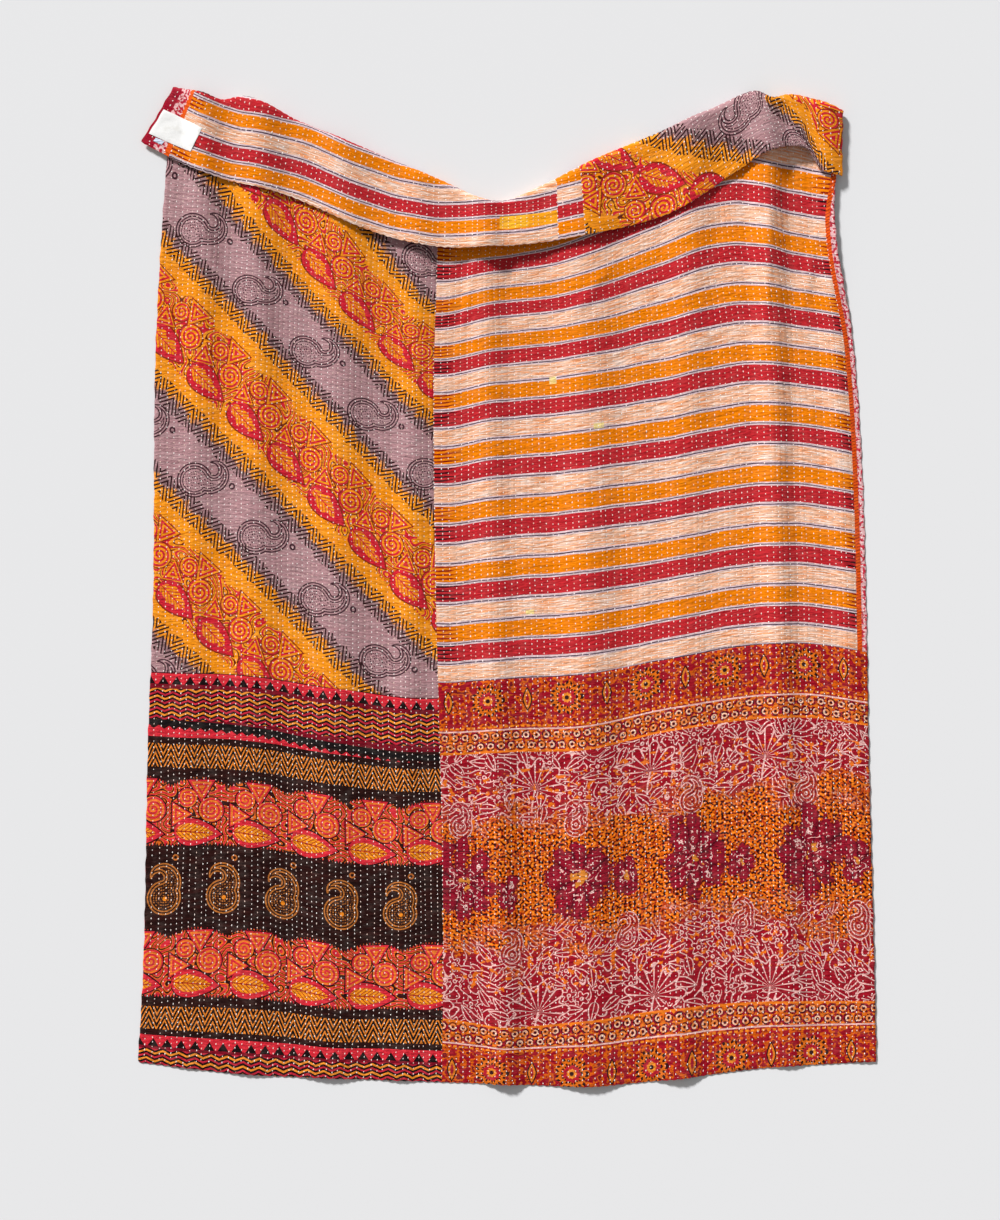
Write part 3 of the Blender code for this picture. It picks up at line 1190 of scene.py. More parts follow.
@dataclass(frozen=True)
class BorderPrint(Print):
    """Dark border of a long cloth: triangles, zigzags, chevrons, the chain and paisleys.

    The bands lie across the panel, from its seam down to the hem.

    Attributes:
        maroon_edges: Foot of the upper maroon ground and top of the lower one.
        strips: Top and bottom of each strip of triangles.
        zigzags: Top and bottom of the upper zigzags, and top of the lower ones.
        slants: Top of the slanting black line, of the field under it, and its foot.
        scallop_foot: Foot of the coral scallops.
        chevrons: Top and bottom of each band of chevrons.
        chain_top: Top of the upper chain.
        chain_drop: Distance down to the lower one.
        chain_cell: Distance between leaves.
        row: Middle of the row of paisleys.
        row_cell: Distance between paisleys.
        paisley: Size of a paisley.
    """

    maroon_edges: tuple = (0.104, 0.716)
    strips: tuple = ((0.0, 0.0225), (0.6955, 0.7190))
    zigzags: tuple = (0.031, 0.092, 0.724)
    slants: tuple = (0.090, 0.1015, 0.130)
    scallop_foot: float = 0.1245
    chevrons: tuple = ((0.1375, 0.1825), (0.640, 0.685))
    chain_top: float = 0.199
    chain_drop: float = 0.289
    chain_cell: float = 0.1125
    row: float = 0.4105
    row_cell: float = 0.1137
    paisley: float = 0.118
    dark: str = "1a0c0c"
    field: str = "260f0d"
    coral: str = "d62a38"
    maroon: str = "7d0c20"
    orange: str = "ee7a26"

    def _triangles(self, dye: Dye, x: Ink, y: Ink, top: float, bottom: float) -> None:
        """A coral strip with dark triangles along its foot, pointing up.

        Args:
            dye: Colour that it is laid on.
            x: Place across.
            y: Place down.
            top: Top of the strip.
            bottom: Bottom of the strip.
        """
        dye.block(y.between(top, bottom), self.coral)
        peak = (x.wave(0.0265) * 0.020) + (bottom - 0.016)
        dye.block(y.between(top, bottom) * (y - peak).over(0.0), self.dark)
        dye.block(y.between(top, top + 1.6 * MM), self.dark)

    def dye(self, pad: Pad) -> Dye:
        """Bands in order down the panel.

        Args:
            pad: Tree and cloth coordinates.

        Returns:
            The finished colour.
        """
        filler = pad.noise(26.0, 26.0, 0.0, 3.0)
        tint = pad.noise(14.0, 120.0, 1.0)
        waver = (pad.noise(9.0, 2.0, 0.0) - 0.5) * 0.004
        x, y = pad.x, pad.y + waver
        dye = Dye(pad.tree, self.field)
        dye.block(tint.ease(0.40, 0.75) * 0.4, "421b17")
        dye.block(y.under(self.maroon_edges[0]), self.maroon)
        dye.block(y.over(self.maroon_edges[1]), self.maroon)
        for top, bottom in self.strips:
            self._triangles(dye, x, y, top, bottom)
        top, bottom, lower_top = self.zigzags
        zone = y.between(top, bottom).most(y.over(lower_top))
        step = ((y + x.wave(0.0305) * 0.0065 - 0.0345) / 0.0155).fract()
        dye.block(zone, "1c0c0e")
        dye.block(zone * step.under(0.25), "f0902c")
        dye.block(zone * step.between(0.50, 0.74), "c4263a")
        strip = y - x * 0.035
        black_top, field_top, field_foot = self.slants
        dye.block(strip.between(black_top, field_top), "181213")
        dye.block(strip.between(field_top, field_foot), self.field)
        scallops = (y - x * 0.041 - x.wave(0.0205) * 0.007).over(field_top)
        dye.block(y.under(self.scallop_foot) * scallops, self.coral)
        upper, lower = self.chevrons
        chevron = y.between(*upper).most(y.between(*lower))
        weave = Motif.zigzag(x, y, 0.0305, 0.032, 0.0142, 0.40)
        dye.block(chevron, "1b1112")
        dye.block(chevron * weave, "e8842c")
        down = y - self.chain_top - y.over(self.row) * self.chain_drop
        chain = Chain(x - 0.103, down, self.chain_cell, 10.0 * MM)
        line = (filler * 7.0).fract()
        dye.block(chain.body, "e56c20")
        dye.block(chain.body * line.under(0.42), self.coral)
        dye.block(chain.body * line.between(0.62, 0.86), "35100f")
        coral = self.coral
        chain.lay(dye, ("2c0d0e", coral, "ea7828", coral, "f4941c", "a8261a"))
        u, v = (x - 0.034).cell(self.row_cell), y - self.row
        far = Motif.paisley(u, v, self.paisley)
        dye.block(far.under(0.0) * 0.6, "351b16")
        dye.block(Motif.beaded(u, v, far, 5.6 * MM, 0.50, 10.0 * MM), "bb6f30")
        dye.block(size_of(u - 0.004, v - 0.022).under(4.2 * MM), "f08a1e")
        dye.block(Motif.ring(size_of(u - 0.024, v + 0.056), 4.5 * MM, 1.5 * MM), "b9682c")
        return dye


@dataclass(frozen=True)
class FloralPrint(Print):
    """Crimson cloth with borders of florals and rosettes, line lace, and roses on orange.

    Attributes:
        repeat: Distance between two large roses, fans or lace paisleys.
        middle: Place down the panel of the orange field's middle.
        split: Place where the motifs of the lower border take over.
        borders: Foot of the upper border's ground and top of the lower one's.
        floret_row: Middle of the upper border's flowers, and distance to the lower one's.
        floret: Distance between the borders' flowers.
        band_middle: Middle between the two bands of small rings.
        band: Where those rings begin and end, from that middle.
        ring_pitch: Distance between rings, across and down.
    """

    repeat: float = 0.222
    middle: float = 0.396
    split: float = 0.4
    borders: tuple = (0.1425, 0.686)
    floret_row: tuple = (0.0405, 0.738)
    floret: float = 0.152
    band_middle: float = 0.4125
    band: tuple = (0.2735, 0.3125)
    ring_pitch: tuple = (0.0196, 0.0195)
    crimson: str = "9e1022"
    orange: str = "e66404"
    lace: str = "ecb6b0"
    rose: str = "7c0d22"
    black: str = "331216"

    def _lace(self, x: Ink, y: Ink, stem: Ink, bloom: tuple) -> Ink:
        """Line drawing: stems along a noise's contours, small flowers and fan leaves.

        Args:
            x: Place across.
            y: Place down.
            stem: Noise whose contours are the stems.
            bloom: Place from the nearest flower or leaf, across and down, and its chance.

        Returns:
            1 on the lines, else 0.
        """
        dx, dy, chance = bloom
        angle = chance * (2 * math.pi)
        sine, cosine = angle.sine(), angle.cosine()
        u, v = dx * cosine + dy * sine, dy * cosine - dx * sine
        blade = Motif.leaf(u, v, 0.038, 0.018)
        leaf = abs(blade).under(1.1 * MM).most(blade.under(0.0) * abs(v).under(0.9 * MM))
        far, edge = Motif.petals(u, v, 5, 0.0115, 0.30)
        flower = abs(far - edge).under(1.25 * MM).most(Motif.ring(far, 3.0 * MM, 1.1 * MM))
        blooms = chance.over(0.66)
        clear = blade.over(2.5 * MM) * far.over(0.008)
        contour = abs((stem * 5.0).fract() - 0.5).under(0.085) * clear
        flower = flower * blooms + leaf * (1.0 - blooms)
        u = (x - 0.182).cell(self.repeat)
        v = y - 0.215 - y.over(self.split) * 0.440
        far, edge = Motif.petals(u, v, 9, 0.052, 0.16)
        open_side = (v - abs(u) * 0.35).under(4.0 * MM)
        fan = (far - edge).under(1.8 * MM) * open_side
        rim = abs(far - edge).under(1.6 * MM)
        rays = abs((v.turn(u) * 18.0).fract() - 0.5).under(0.10).most(rim) * fan
        stalk = abs(u + (v * 30.0).sine() * 0.008).under(1.6 * MM) * v.between(0.0, 0.045)
        rays = rays.most(stalk)
        return (flower.most(contour) * (1.0 - fan)).most(rays)

    def dye(self, pad: Pad) -> Dye:
        """The lace ground first, then the orange field and roses, then the borders.

        Args:
            pad: Tree and cloth coordinates.

        Returns:
            The finished colour.
        """
        blotch = pad.noise(75.0, 75.0, 2.0)
        stem = pad.noise(24.0, 24.0, 0.0, 5.0)
        speck = pad.noise(210.0, 210.0, 0.0, 9.0)
        cloud = pad.noise(11.0, 17.0, 2.0, 4.0)
        bloom = pad.scatter(0.031, 0.8)
        waver = (pad.noise(5.0, 1.0, 0.0) - 0.5) * 0.004
        x, y = pad.x, pad.y + waver
        dye = Dye(pad.tree, self.crimson)
        dye.block(blotch.ease(0.5, 0.7) * 0.5, "85101f")
        dye.block(self._lace(x, y, stem, bloom), self.lace)
        deep = abs(y - self.middle)
        dots = blotch.ease(0.60, 0.64) * deep.under(0.22)
        dye.block(dots, "e8701a")
        field = (deep - (cloud - 0.5) * 0.22).ease(0.150, 0.085)
        glow = Dye(pad.tree, self.orange)
        glow.block(blotch.ease(0.50, 0.60) * 0.85, "b02a10")
        glow.block(speck.ease(0.38, 0.31), "f78c20")
        glow.block(speck.ease(0.575, 0.60), "2c0a0c")
        dye.block(field, glow.colour)
        for place, height in ((0.035, 0.272), (0.130, 0.520)):
            far = Motif.paisley((x - place).cell(self.repeat), (y - height) * 0.9, 0.082)
            inside = far.under(0.0)
            dye.block(inside * 0.7, self.crimson)
            dye.block(inside * (far / (6.5 * MM)).fract().over(0.72) * blotch.over(0.40), self.lace)
        shade = (cloud, blotch)
        self._rose(dye, (x - 0.042).cell(self.repeat), (y - 0.398) * 0.76, shade, 0.064, 8)
        self._rose(dye, (x - 0.131).cell(self.repeat), (y - 0.416) * 0.72, shade, 0.028, 5)
        ground = Dye(pad.tree, self.crimson)
        ground.block(blotch.ease(0.48, 0.55), "d65c0c")
        ground.block(blotch.ease(0.62, 0.68), "7c1420")
        row, drop = self.floret_row
        v = abs(y - row - y.over(self.split) * drop)
        u = (x - 0.095).cell(self.floret)
        far, edge = Motif.petals(u, v, 9, 0.030, 0.10)
        step = far / edge
        beads = (v.turn(u) * 22.0).fract().under(0.62)
        ground.block(step.under(1.0), "dd6c14")
        ground.block(step.between(0.82, 1.0) * beads, self.black)
        ground.block(step.under(0.64), "dd6c14")
        ground.block(step.between(0.54, 0.66) * beads, self.black)
        ground.block(step.under(0.54), "b31e2c")
        ground.block(step.under(0.30), "e88a2a")
        ground.block(step.under(0.14), self.black)
        leaf = Motif.leaf(v - 0.004, (x - 0.171).cell(self.floret), 0.040, 0.020)
        ground.block(leaf.under(0.0), "2a1013")
        ground.block(leaf.under(-2.6 * MM), "e07a20")
        ground.block(leaf.under(-6.5 * MM), "a5142a")
        upper_foot, lower_top = self.borders
        dye.block(y.under(upper_foot).most(y.over(lower_top)), ground.colour)
        self._bands(dye, x, y, blotch, speck)
        return dye

    def _bands(self, dye: Dye, x: Ink, y: Ink, blotch: Ink, speck: Ink) -> None:
        """Two bands of small rings in staggered rows, with their edge lines.

        Args:
            dye: Colour that they are laid on.
            x: Place across.
            y: Place down.
            blotch: Blotchy noise that mottles them.
            speck: Fine noise that breaks their outlines.
        """
        band = abs(y - self.band_middle)
        start, end = self.band
        across, down = self.ring_pitch
        dye.block(band.between(start - 0.5 * MM, end + 0.5 * MM), "9c1526")
        row = ((band - start) / down).floor()
        far = size_of((x + row * (across / 2)).cell(across), (band - start - down / 2).cell(down))
        zone = band.between(start, end)
        ring = zone * Motif.ring(far, 4.6 * MM, 1.3 * MM)
        dye.block(zone * blotch.ease(0.50, 0.44), "dd6414")
        dye.block(ring, "e58a4c")
        dye.block(ring * blotch.over(0.50), "f0c2a2")
        dye.block(zone * Motif.ring(far, 7.6 * MM, 1.1 * MM) * speck.over(0.46), "2c1216")
        dye.block(zone * far.under(2.2 * MM), "2c1216")
        dye.block(zone * far.over(11.0 * MM), "ea7f1c")
        dye.block(band.between(0.2695, 0.2735), "ee7a1c")
        dye.block(band.between(0.3130, 0.3160), "eebab2")
        dash = (x / 0.0105).fract().under(0.6)
        dye.block(band.between(0.3185, 0.3225) * dash, "ec8420")

    def _rose(self, dye: Dye, u: Ink, v: Ink, shade: tuple, radius: float, count: int) -> None:
        """A big shaded rose: round petals with dark sides, dark folds and pale lights.

        Args:
            dye: Colour that it is laid on.
            u: Place across from its middle.
            v: Place down from its middle.
            shade: Cloudy and blotchy noise that shape its shading.
            radius: Radius of its petals.
            count: Number of its petals.
        """
        cloud, blotch = shade
        bend = cloud * 0.03 - 0.015
        far, edge = Motif.lobes(u + bend, v - bend, count, radius, 0.36)
        petal = edge / radius
        step = (far + (cloud - 0.5) * (0.9 * radius) + (blotch - 0.5) * (0.7 * radius)) / edge
        dye.block(step.under(1.0), self.rose)
        dye.block(step.under(0.94) * petal.ease(0.82, 0.96), "99142a")
        fold = (step * 2.2 + cloud * 7.0).fract()
        dye.block(step.under(0.96) * fold.ease(0.22, 0.0), "430813")
        dye.block(step.under(1.0) * petal.under(0.74), "430813")
        dye.block(step.under(0.66) * fold.between(0.34, 0.54) * blotch.over(0.50), "f0bab2")
        dye.block(step.between(0.56, 0.63) * petal.over(0.95) * cloud.over(0.51), "f2c4bc")
        dye.block(step.under(0.12), "dd8630")


def coated(name: str, roughness: float, sheen: float) -> tuple:
    """Starts a material with a roughness and a sheen.

    Args:
        name: Name of the material.
        roughness: Surface roughness.
        sheen: Strength of its soft gleam.

    Returns:
        The material, its tree and its shader.
    """
    material = bpy.data.materials.new(name)
    material.use_nodes = True
    shader = material.node_tree.nodes["Principled BSDF"]
    shader.inputs["Roughness"].default_value = roughness
    shader.inputs["Sheen Weight"].default_value = sheen
    return material, material.node_tree, shader


def emboss(height: Ink, shader: bpy.types.Node, strength: float, depth: float) -> None:
    """Raises a shader's surface by a bump.

    Args:
        height: Height from 0 to 1.
        shader: Shader that takes the bump.
        strength: Share of the bump that shows.
        depth: Height of a full step, in metres.
    """
    bump = height.tree.nodes.new("ShaderNodeBump")
    bump.inputs["Strength"].default_value = strength
    bump.inputs["Distance"].default_value = depth
    height.tree.links.new(height.socket, bump.inputs["Height"])
    height.tree.links.new(bump.outputs[0], shader.inputs["Normal"])


def placed(name: str, data: bpy.types.ID) -> bpy.types.Object:
    """Puts an object in the scene.

    Args:
        name: Name of the object.
        data: Its mesh, camera or light.

    Returns:
        The object.
    """
    made = bpy.data.objects.new(name, data)
    bpy.context.scene.collection.objects.link(made)
    return made


@dataclass(frozen=True)
class Cotton:
    """Matt quilted cotton under a print.

    Attributes:
        roughness: Surface roughness.
        sheen: Soft gleam of the fibre.
        fuzz: Roughness of that gleam.
        gloss: Strength of its highlights.
        weave: Thread pitch in metres.
        fade: How far the dye has worn at random.
        crinkle: Strength of the bump and its height in metres.
    """

    roughness: float = 0.92
    sheen: float = 0.03
    fuzz: float = 0.5
    gloss: float = 0.06
    weave: float = 1.1 * MM
    fade: float = 0.03
    crinkle: tuple = (0.8, 3.4 * MM)

    def material(self, name: str, pattern: Print) -> bpy.types.Material:
        """Builds the material: worn print, weave and small crinkles.

        Args:
            name: Name of the material.
            pattern: The print.

        Returns:
            The material.
        """
        material, tree, shader = coated(name, self.roughness, self.sheen)
        shader.inputs["Sheen Roughness"].default_value = self.fuzz
        shader.inputs["Specular IOR Level"].default_value = self.gloss
        pad = Pad(tree)
        worn = pad.noise(45.0, 60.0, 3.0)
        dye = pattern.dye(pad)
        dye.block((worn - 0.45).most(0.0) * self.fade * 3.0, "e9ddd2")
        tree.links.new(dye.colour, shader.inputs["Base Color"])
        warp = (pad.x * (2 * math.pi / self.weave)).sine()
        weft = (pad.y * (2 * math.pi / self.weave)).sine()
        crinkle = pad.noise(70.0, 240.0, 1.0)
        emboss(warp * weft * 0.07 + crinkle, shader, *self.crinkle)
        return material


@dataclass(frozen=True)
class Thread:
    """White cotton stitching thread, a little dyed by the cloth under it.

    Attributes:
        pale: Its colour code.
        tinted: Its colour where it has taken up dye.
        roughness: Surface roughness.
        sheen: Soft gleam of the fibre.
    """

    pale: str = "faf4ee"
    tinted: str = "eccdbd"
    roughness: float = 0.7
    sheen: float = 0.2

    def material(self, name: str) -> bpy.types.Material:
        """Builds the material: two tints that change along the rows.

        Args:
            name: Name of the material.

        Returns:
            The material.
        """
        material, tree, shader = coated(name, self.roughness, self.sheen)
        place = tree.nodes.new("ShaderNodeTexCoord")
        noise = tree.nodes.new("ShaderNodeTexNoise")
        noise.inputs["Scale"].default_value = 90.0
        noise.inputs["Detail"].default_value = 0.0
        tree.links.new(place.outputs["Object"], noise.inputs["Vector"])
        dye = Dye(tree, self.pale)
        dye.block(Ink(tree, noise.outputs[0]).ease(0.45, 0.70), self.tinted)
        tree.links.new(dye.colour, shader.inputs["Base Color"])
        return material


@dataclass
class Panel:
    """A piece of patchwork on one face of the quilt.

    Attributes:
        name: Name of the piece.
        side: Face that it is on.
        left: Share of the width at its left edge.
        right: Share at its right edge.
        top: Distance along at its top edge, at the left and at the right.
        bottom: Distance along at its bottom edge, at the left and at the right.
        pattern: Its print.
        cell: Length of a cell of its mesh along the cloth.
        parts: Cells between two rows of stitches.
        margin: Least distance of a row of stitches from its sides.
        settling: Distance from its sides over which the rows begin to wander.
        edge: Distance over which its edges round down.
        edge_height: Height of its edges over the middle surface.
        skin: Height of its inner face.
        roll_half: Half the length of cloth that the roll bends.
    """

    name: str
    side: Side
    left: float
    right: float
    top: tuple
    bottom: tuple
    pattern: Print
    cell: float = 3.5 * MM
    parts: int = 3
    margin: float = 3 * MM
    settling: float = 15 * MM
    edge: float = 5 * MM
    edge_height: float = 0.5 * MM
    skin: float = 0.15 * MM
    roll_half: float = 20 * MM

    @property
    def length(self) -> float:
        """Mean length of the panel down the cloth."""
        return (self.bottom[0] + self.bottom[1] - self.top[0] - self.top[1]) / 2

    def _columns(self, rows: Grid) -> tuple:
        """Places the mesh's columns on the rows of stitches and evenly between them.

        Args:
            rows: Shares of all rows of stitches.

        Returns:
            Shares of the columns, and 1 for each that is a row of stitches.
        """
        margin = self.margin / WIDTH
        inside = rows[(rows > self.left + margin) & (rows < self.right - margin)]
        knots = np.concatenate([[self.left], inside, [self.right]])
        steps = np.arange(self.parts) / self.parts
        columns = (knots[:-1, None] + np.diff(knots)[:, None] * steps).ravel()
        columns = np.append(columns, self.right)
        groove = np.zeros(len(columns))
        groove[self.parts:-1:self.parts] = 1.0
        return columns, groove

    def _drops(self) -> Grid:
        """Places the mesh's rows, closer on the fold than beyond it.

        Returns:
            Shares of the way down the panel.
        """
        length = self.length
        if self.side is Side.FRONT:
            return np.linspace(0.0, 1.0, max(3, round(length / self.cell) + 1))
        fold = 1.25 * ROLL_START * MM
        near = np.arange(0.0, fold, self.cell)
        far = np.linspace(fold, length, round((length - fold) / (2.6 * self.cell)))
        return np.concatenate([near, far]) / length

    def build(self, drape: Drape, quilting: Quilting, cotton: Cotton) -> bpy.types.Object:
        """Makes the panel's shell and dresses it.

        Args:
            drape: Surface that it lies on.
            quilting: Rows of stitches and relief.
            cotton: Finish of the cloth.

        Returns:
            The panel.
        """
        columns, groove = self._columns(quilting.rows)
        drops = self._drops()[:, None]
        way = (columns - self.left) / (self.right - self.left)
        top = self.top[0] + (self.top[1] - self.top[0]) * way
        bottom = self.bottom[0] + (self.bottom[1] - self.bottom[0]) * way
        along = top + (bottom - top) * drops
        inset = np.minimum(columns - self.left, self.right - columns) * WIDTH
        free = np.clip(inset / self.settling, 0.0, 1.0)
        share = np.broadcast_to(columns + quilting.wander(columns, along) * free, along.shape)
        relief = quilting.relief(share, along, groove)
        edge = np.minimum(np.minimum(inset, along - top), bottom - along)
        ease = np.clip(edge / self.edge, 0.0, 1.0)
        ease = np.sqrt(1 - (1 - ease) ** 2)
        height = self.edge_height + (relief - self.edge_height) * ease
        if self.side is Side.BACK:
            height = drape.settled(height, along, THICKNESS / 2 - FLOOR_GAP)
        sign = self.side.value
        outer = drape.at(share, along, sign * height)
        inner = drape.at(share, along, sign * np.full_like(along, self.skin))
        down = np.broadcast_to(drops * self.length, along.shape)
        if self.side is Side.BACK:
            down = drape.length(share, along)
        uv = np.stack([(share - self.left) * WIDTH, down], axis=2)
        if self.side is Side.BACK:
            outer, inner, uv = outer[:, ::-1], inner[:, ::-1], uv[:, ::-1]
        middle = along[:, len(columns) // 2]
        bent = np.abs(middle - (ROLL_START + ROLL_END) / 2 * MM) < self.roll_half
        every = 4 if self.side is Side.FRONT else 2
        keep = bent | (np.arange(len(middle)) % every == 0)
        keep[[0, -1]] = True
        piece = Shell(self.name, outer, inner, uv, np.nonzero(keep)[0].tolist()).object
        piece.data.materials.append(cotton.material(self.name, self.pattern))
        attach(piece, "root")
        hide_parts("quilt")
        flat = ((self.right - self.left) * WIDTH, self.length)
        log.info("%s: %d triangles or so", self.name, 2 * outer.shape[0] * outer.shape[1])
        return piece


@dataclass(frozen=True)
class Stitches:
    """Stitches of one piece of sewing: where each lies and how large it is.

    Attributes:
        name: Name of the piece.
        side: Face that they show on.
        share: Share of the width of each.
        along: Distance along of each, in metres.
        length: Length of each.
        width: Width of each.
        lean: Sideways shift of each one's ends, as a share.
    """

    name: str
    side: Side
    share: Grid
    along: Grid
    length: Grid
    width: Grid
    lean: Grid

    def build(
        self, drape: Drape, quilting: Quilting, finish: bpy.types.Material
    ) -> bpy.types.Object:
        """Makes all the stitches as one mesh of five-point lozenges.

        A stitch has two ends in the cloth, two sides and a raised middle.

        Args:
            drape: Surface that they lie on.
            quilting: Relief that they lie in.
            finish: Thread material.

        Returns:
            The piece.
        """
        share, along = self.share, self.along
        half, wide = self.length / 2, self.width / 2 / WIDTH
        base = quilting.relief(share, along, np.ones_like(share))
        if self.side is Side.BACK:
            base = drape.settled(base, along, THICKNESS / 2 - FLOOR_GAP - STITCH_RISE)
        sign = self.side.value
        corners = [
            drape.at(share + self.lean, along - half, sign * (base - STITCH_SINK)),
            drape.at(share - wide, along, sign * base),
            drape.at(share - self.lean, along + half, sign * (base - STITCH_SINK)),
            drape.at(share + wide, along, sign * base),
            drape.at(share, along, sign * (base + STITCH_RISE)),
        ]
        points = np.stack(corners, axis=1).reshape(-1, 3)
        one = np.array([[0, 1, 4], [1, 2, 4], [2, 3, 4], [3, 0, 4], [0, 3, 2], [0, 2, 1]])
        if self.side is Side.BACK:
            one = one[:, ::-1]
        faces = (one[None] + 5 * np.arange(len(share))[:, None, None]).reshape(-1, 3)
        mesh = bpy.data.meshes.new(self.name)
        mesh.from_pydata(points.tolist(), [], faces.tolist())
        mesh.shade_smooth()
        mesh.materials.append(finish)
        piece = placed(self.name, mesh)
        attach(piece, "root")
        log.info("%s: %d stitches", self.name, len(share))
        return piece


@dataclass(frozen=True)
class Needlework:
    """Lays out the quilt's sewing.

    Attributes:
        length: Length of a running stitch on top of the cloth.
        width: Width of the thread as it lies.
        skipped: Share of the stitches that are sunk out of sight.
        uneven: Spread of the lengths and of the widths, as shares.
        lean: Spread of the sideways lean.
        stray: Spread of the places along a row and across it.
        bare: Cloth without stitches at the top hem and at the foot hem.
    """

    length: float = 6.2 * MM
    width: float = 2.9 * MM
    skipped: float = 0.03
    uneven: tuple = (0.14, 0.12)
    lean: float = 0.2 * MM
    stray: tuple = (0.4 * MM, 0.15 * MM)
    bare: tuple = (5 * MM, 8 * MM)

    def _sized(
        self, name: str, side: Side, share: Grid, along: Grid, size: float = 1.0
    ) -> Stitches:
        """Stitches at given places with uneven sizes, seeded by their name.

        Args:
            name: Name of the piece.
            side: Face that they show on.
            share: Share of the width of each.
            along: Distance along of each.
            size: Their length as a multiple of a running stitch's.

        Returns:
            The stitches.
        """
        draw = np.random.default_rng(sum(map(ord, name)))
        count = share.shape
        length = self.length * size * np.clip(draw.normal(1.0, self.uneven[0], count), 0.6, 1.5)
        width = self.width * np.clip(draw.normal(1.0, self.uneven[1], count), 0.6, 1.4)
        lean = draw.normal(0.0, self.lean, count) / WIDTH
        return Stitches(name, side, share, along, length, width, lean)

    def rows(
        self, name: str, side: Side, left: float, right: float, quilting: Quilting
    ) -> Stitches:
        """Running stitches of the rows between two shares, from hem to hem.

        Args:
            name: Name of the piece.
            side: Face that they show on; the back's lie between the front's.
            left: Share of the width where the first row may be.
            right: Share where the last row may be.
            quilting: Rows, pitches and phases.

        Returns:
            The stitches.
        """
        draw = np.random.default_rng(len(name) * 7)
        chosen = np.nonzero((quilting.rows > left) & (quilting.rows < right))[0]
        end = CLOTH_LENGTH * MM
        number = np.arange(int(end / (STITCH_PITCH * 0.85)))
        shift = 0.0 if side is Side.FRONT else 0.5
        along = quilting.phase[chosen, None] + quilting.pitch[chosen, None] * (number + shift)
        along = along + draw.normal(0.0, self.stray[0], along.shape)
        share = np.broadcast_to(quilting.rows[chosen, None], along.shape)
        sewn = (along > self.bare[0]) & (along < end - self.bare[1])
        keep = sewn & (draw.random(along.shape) > self.skipped)
        share, along = share[keep], along[keep]
        aside = draw.normal(0.0, self.stray[1], share.shape) / WIDTH
        share = share + quilting.wander(share, along) + aside
        return self._sized(name, side, share, along)

    def hem(self, name: str, side: Side, along: float) -> Stitches:
        """Small wraps at the notches of a hem's scallops.

        Args:
            name: Name of the piece.
            side: Face that they show on.
            along: Distance along of their middles.

        Returns:
            The stitches.
        """
        share = np.arange(1, int(WIDTH / HEM_PITCH) + 1) * HEM_PITCH / WIDTH
        share = share[share < 1 - 2 * MM / WIDTH]
        return self._sized(name, side, share, np.full_like(share, along), 1.2)


@dataclass(frozen=True)
class Satin:
    """Smooth woven label satin.

    Attributes:
        colour: Its colour code.
        rib: Pitch of its fine ribs in metres.
        roughness: Surface roughness.
        sheen: Soft gleam of the fibre.
        relief: Strength of the ribs' bump and its height in metres.
    """

    colour: str = "ecebe9"
    rib: float = 0.8 * MM
    roughness: float = 0.5
    sheen: float = 0.3
    relief: tuple = (0.5, 0.8 * MM)

    def material(self, name: str) -> bpy.types.Material:
        """Builds the material: fine ribs, a faint yellowing and a soft gleam.

        Args:
            name: Name of the material.

        Returns:
            The material.
        """
        material, tree, shader = coated(name, self.roughness, self.sheen)
        pad = Pad(tree)
        dye = Dye(tree, self.colour)
        dye.block(pad.noise(60.0, 60.0, 2.0).ease(0.5, 0.8) * 0.4, "d8d5cd")
        tree.links.new(dye.colour, shader.inputs["Base Color"])
        ribs = (pad.y * (2 * math.pi / self.rib)).sine() * 0.1
        soft = pad.noise(90.0, 90.0, 1.0)
        emboss(ribs + soft, shader, *self.relief)
        return material


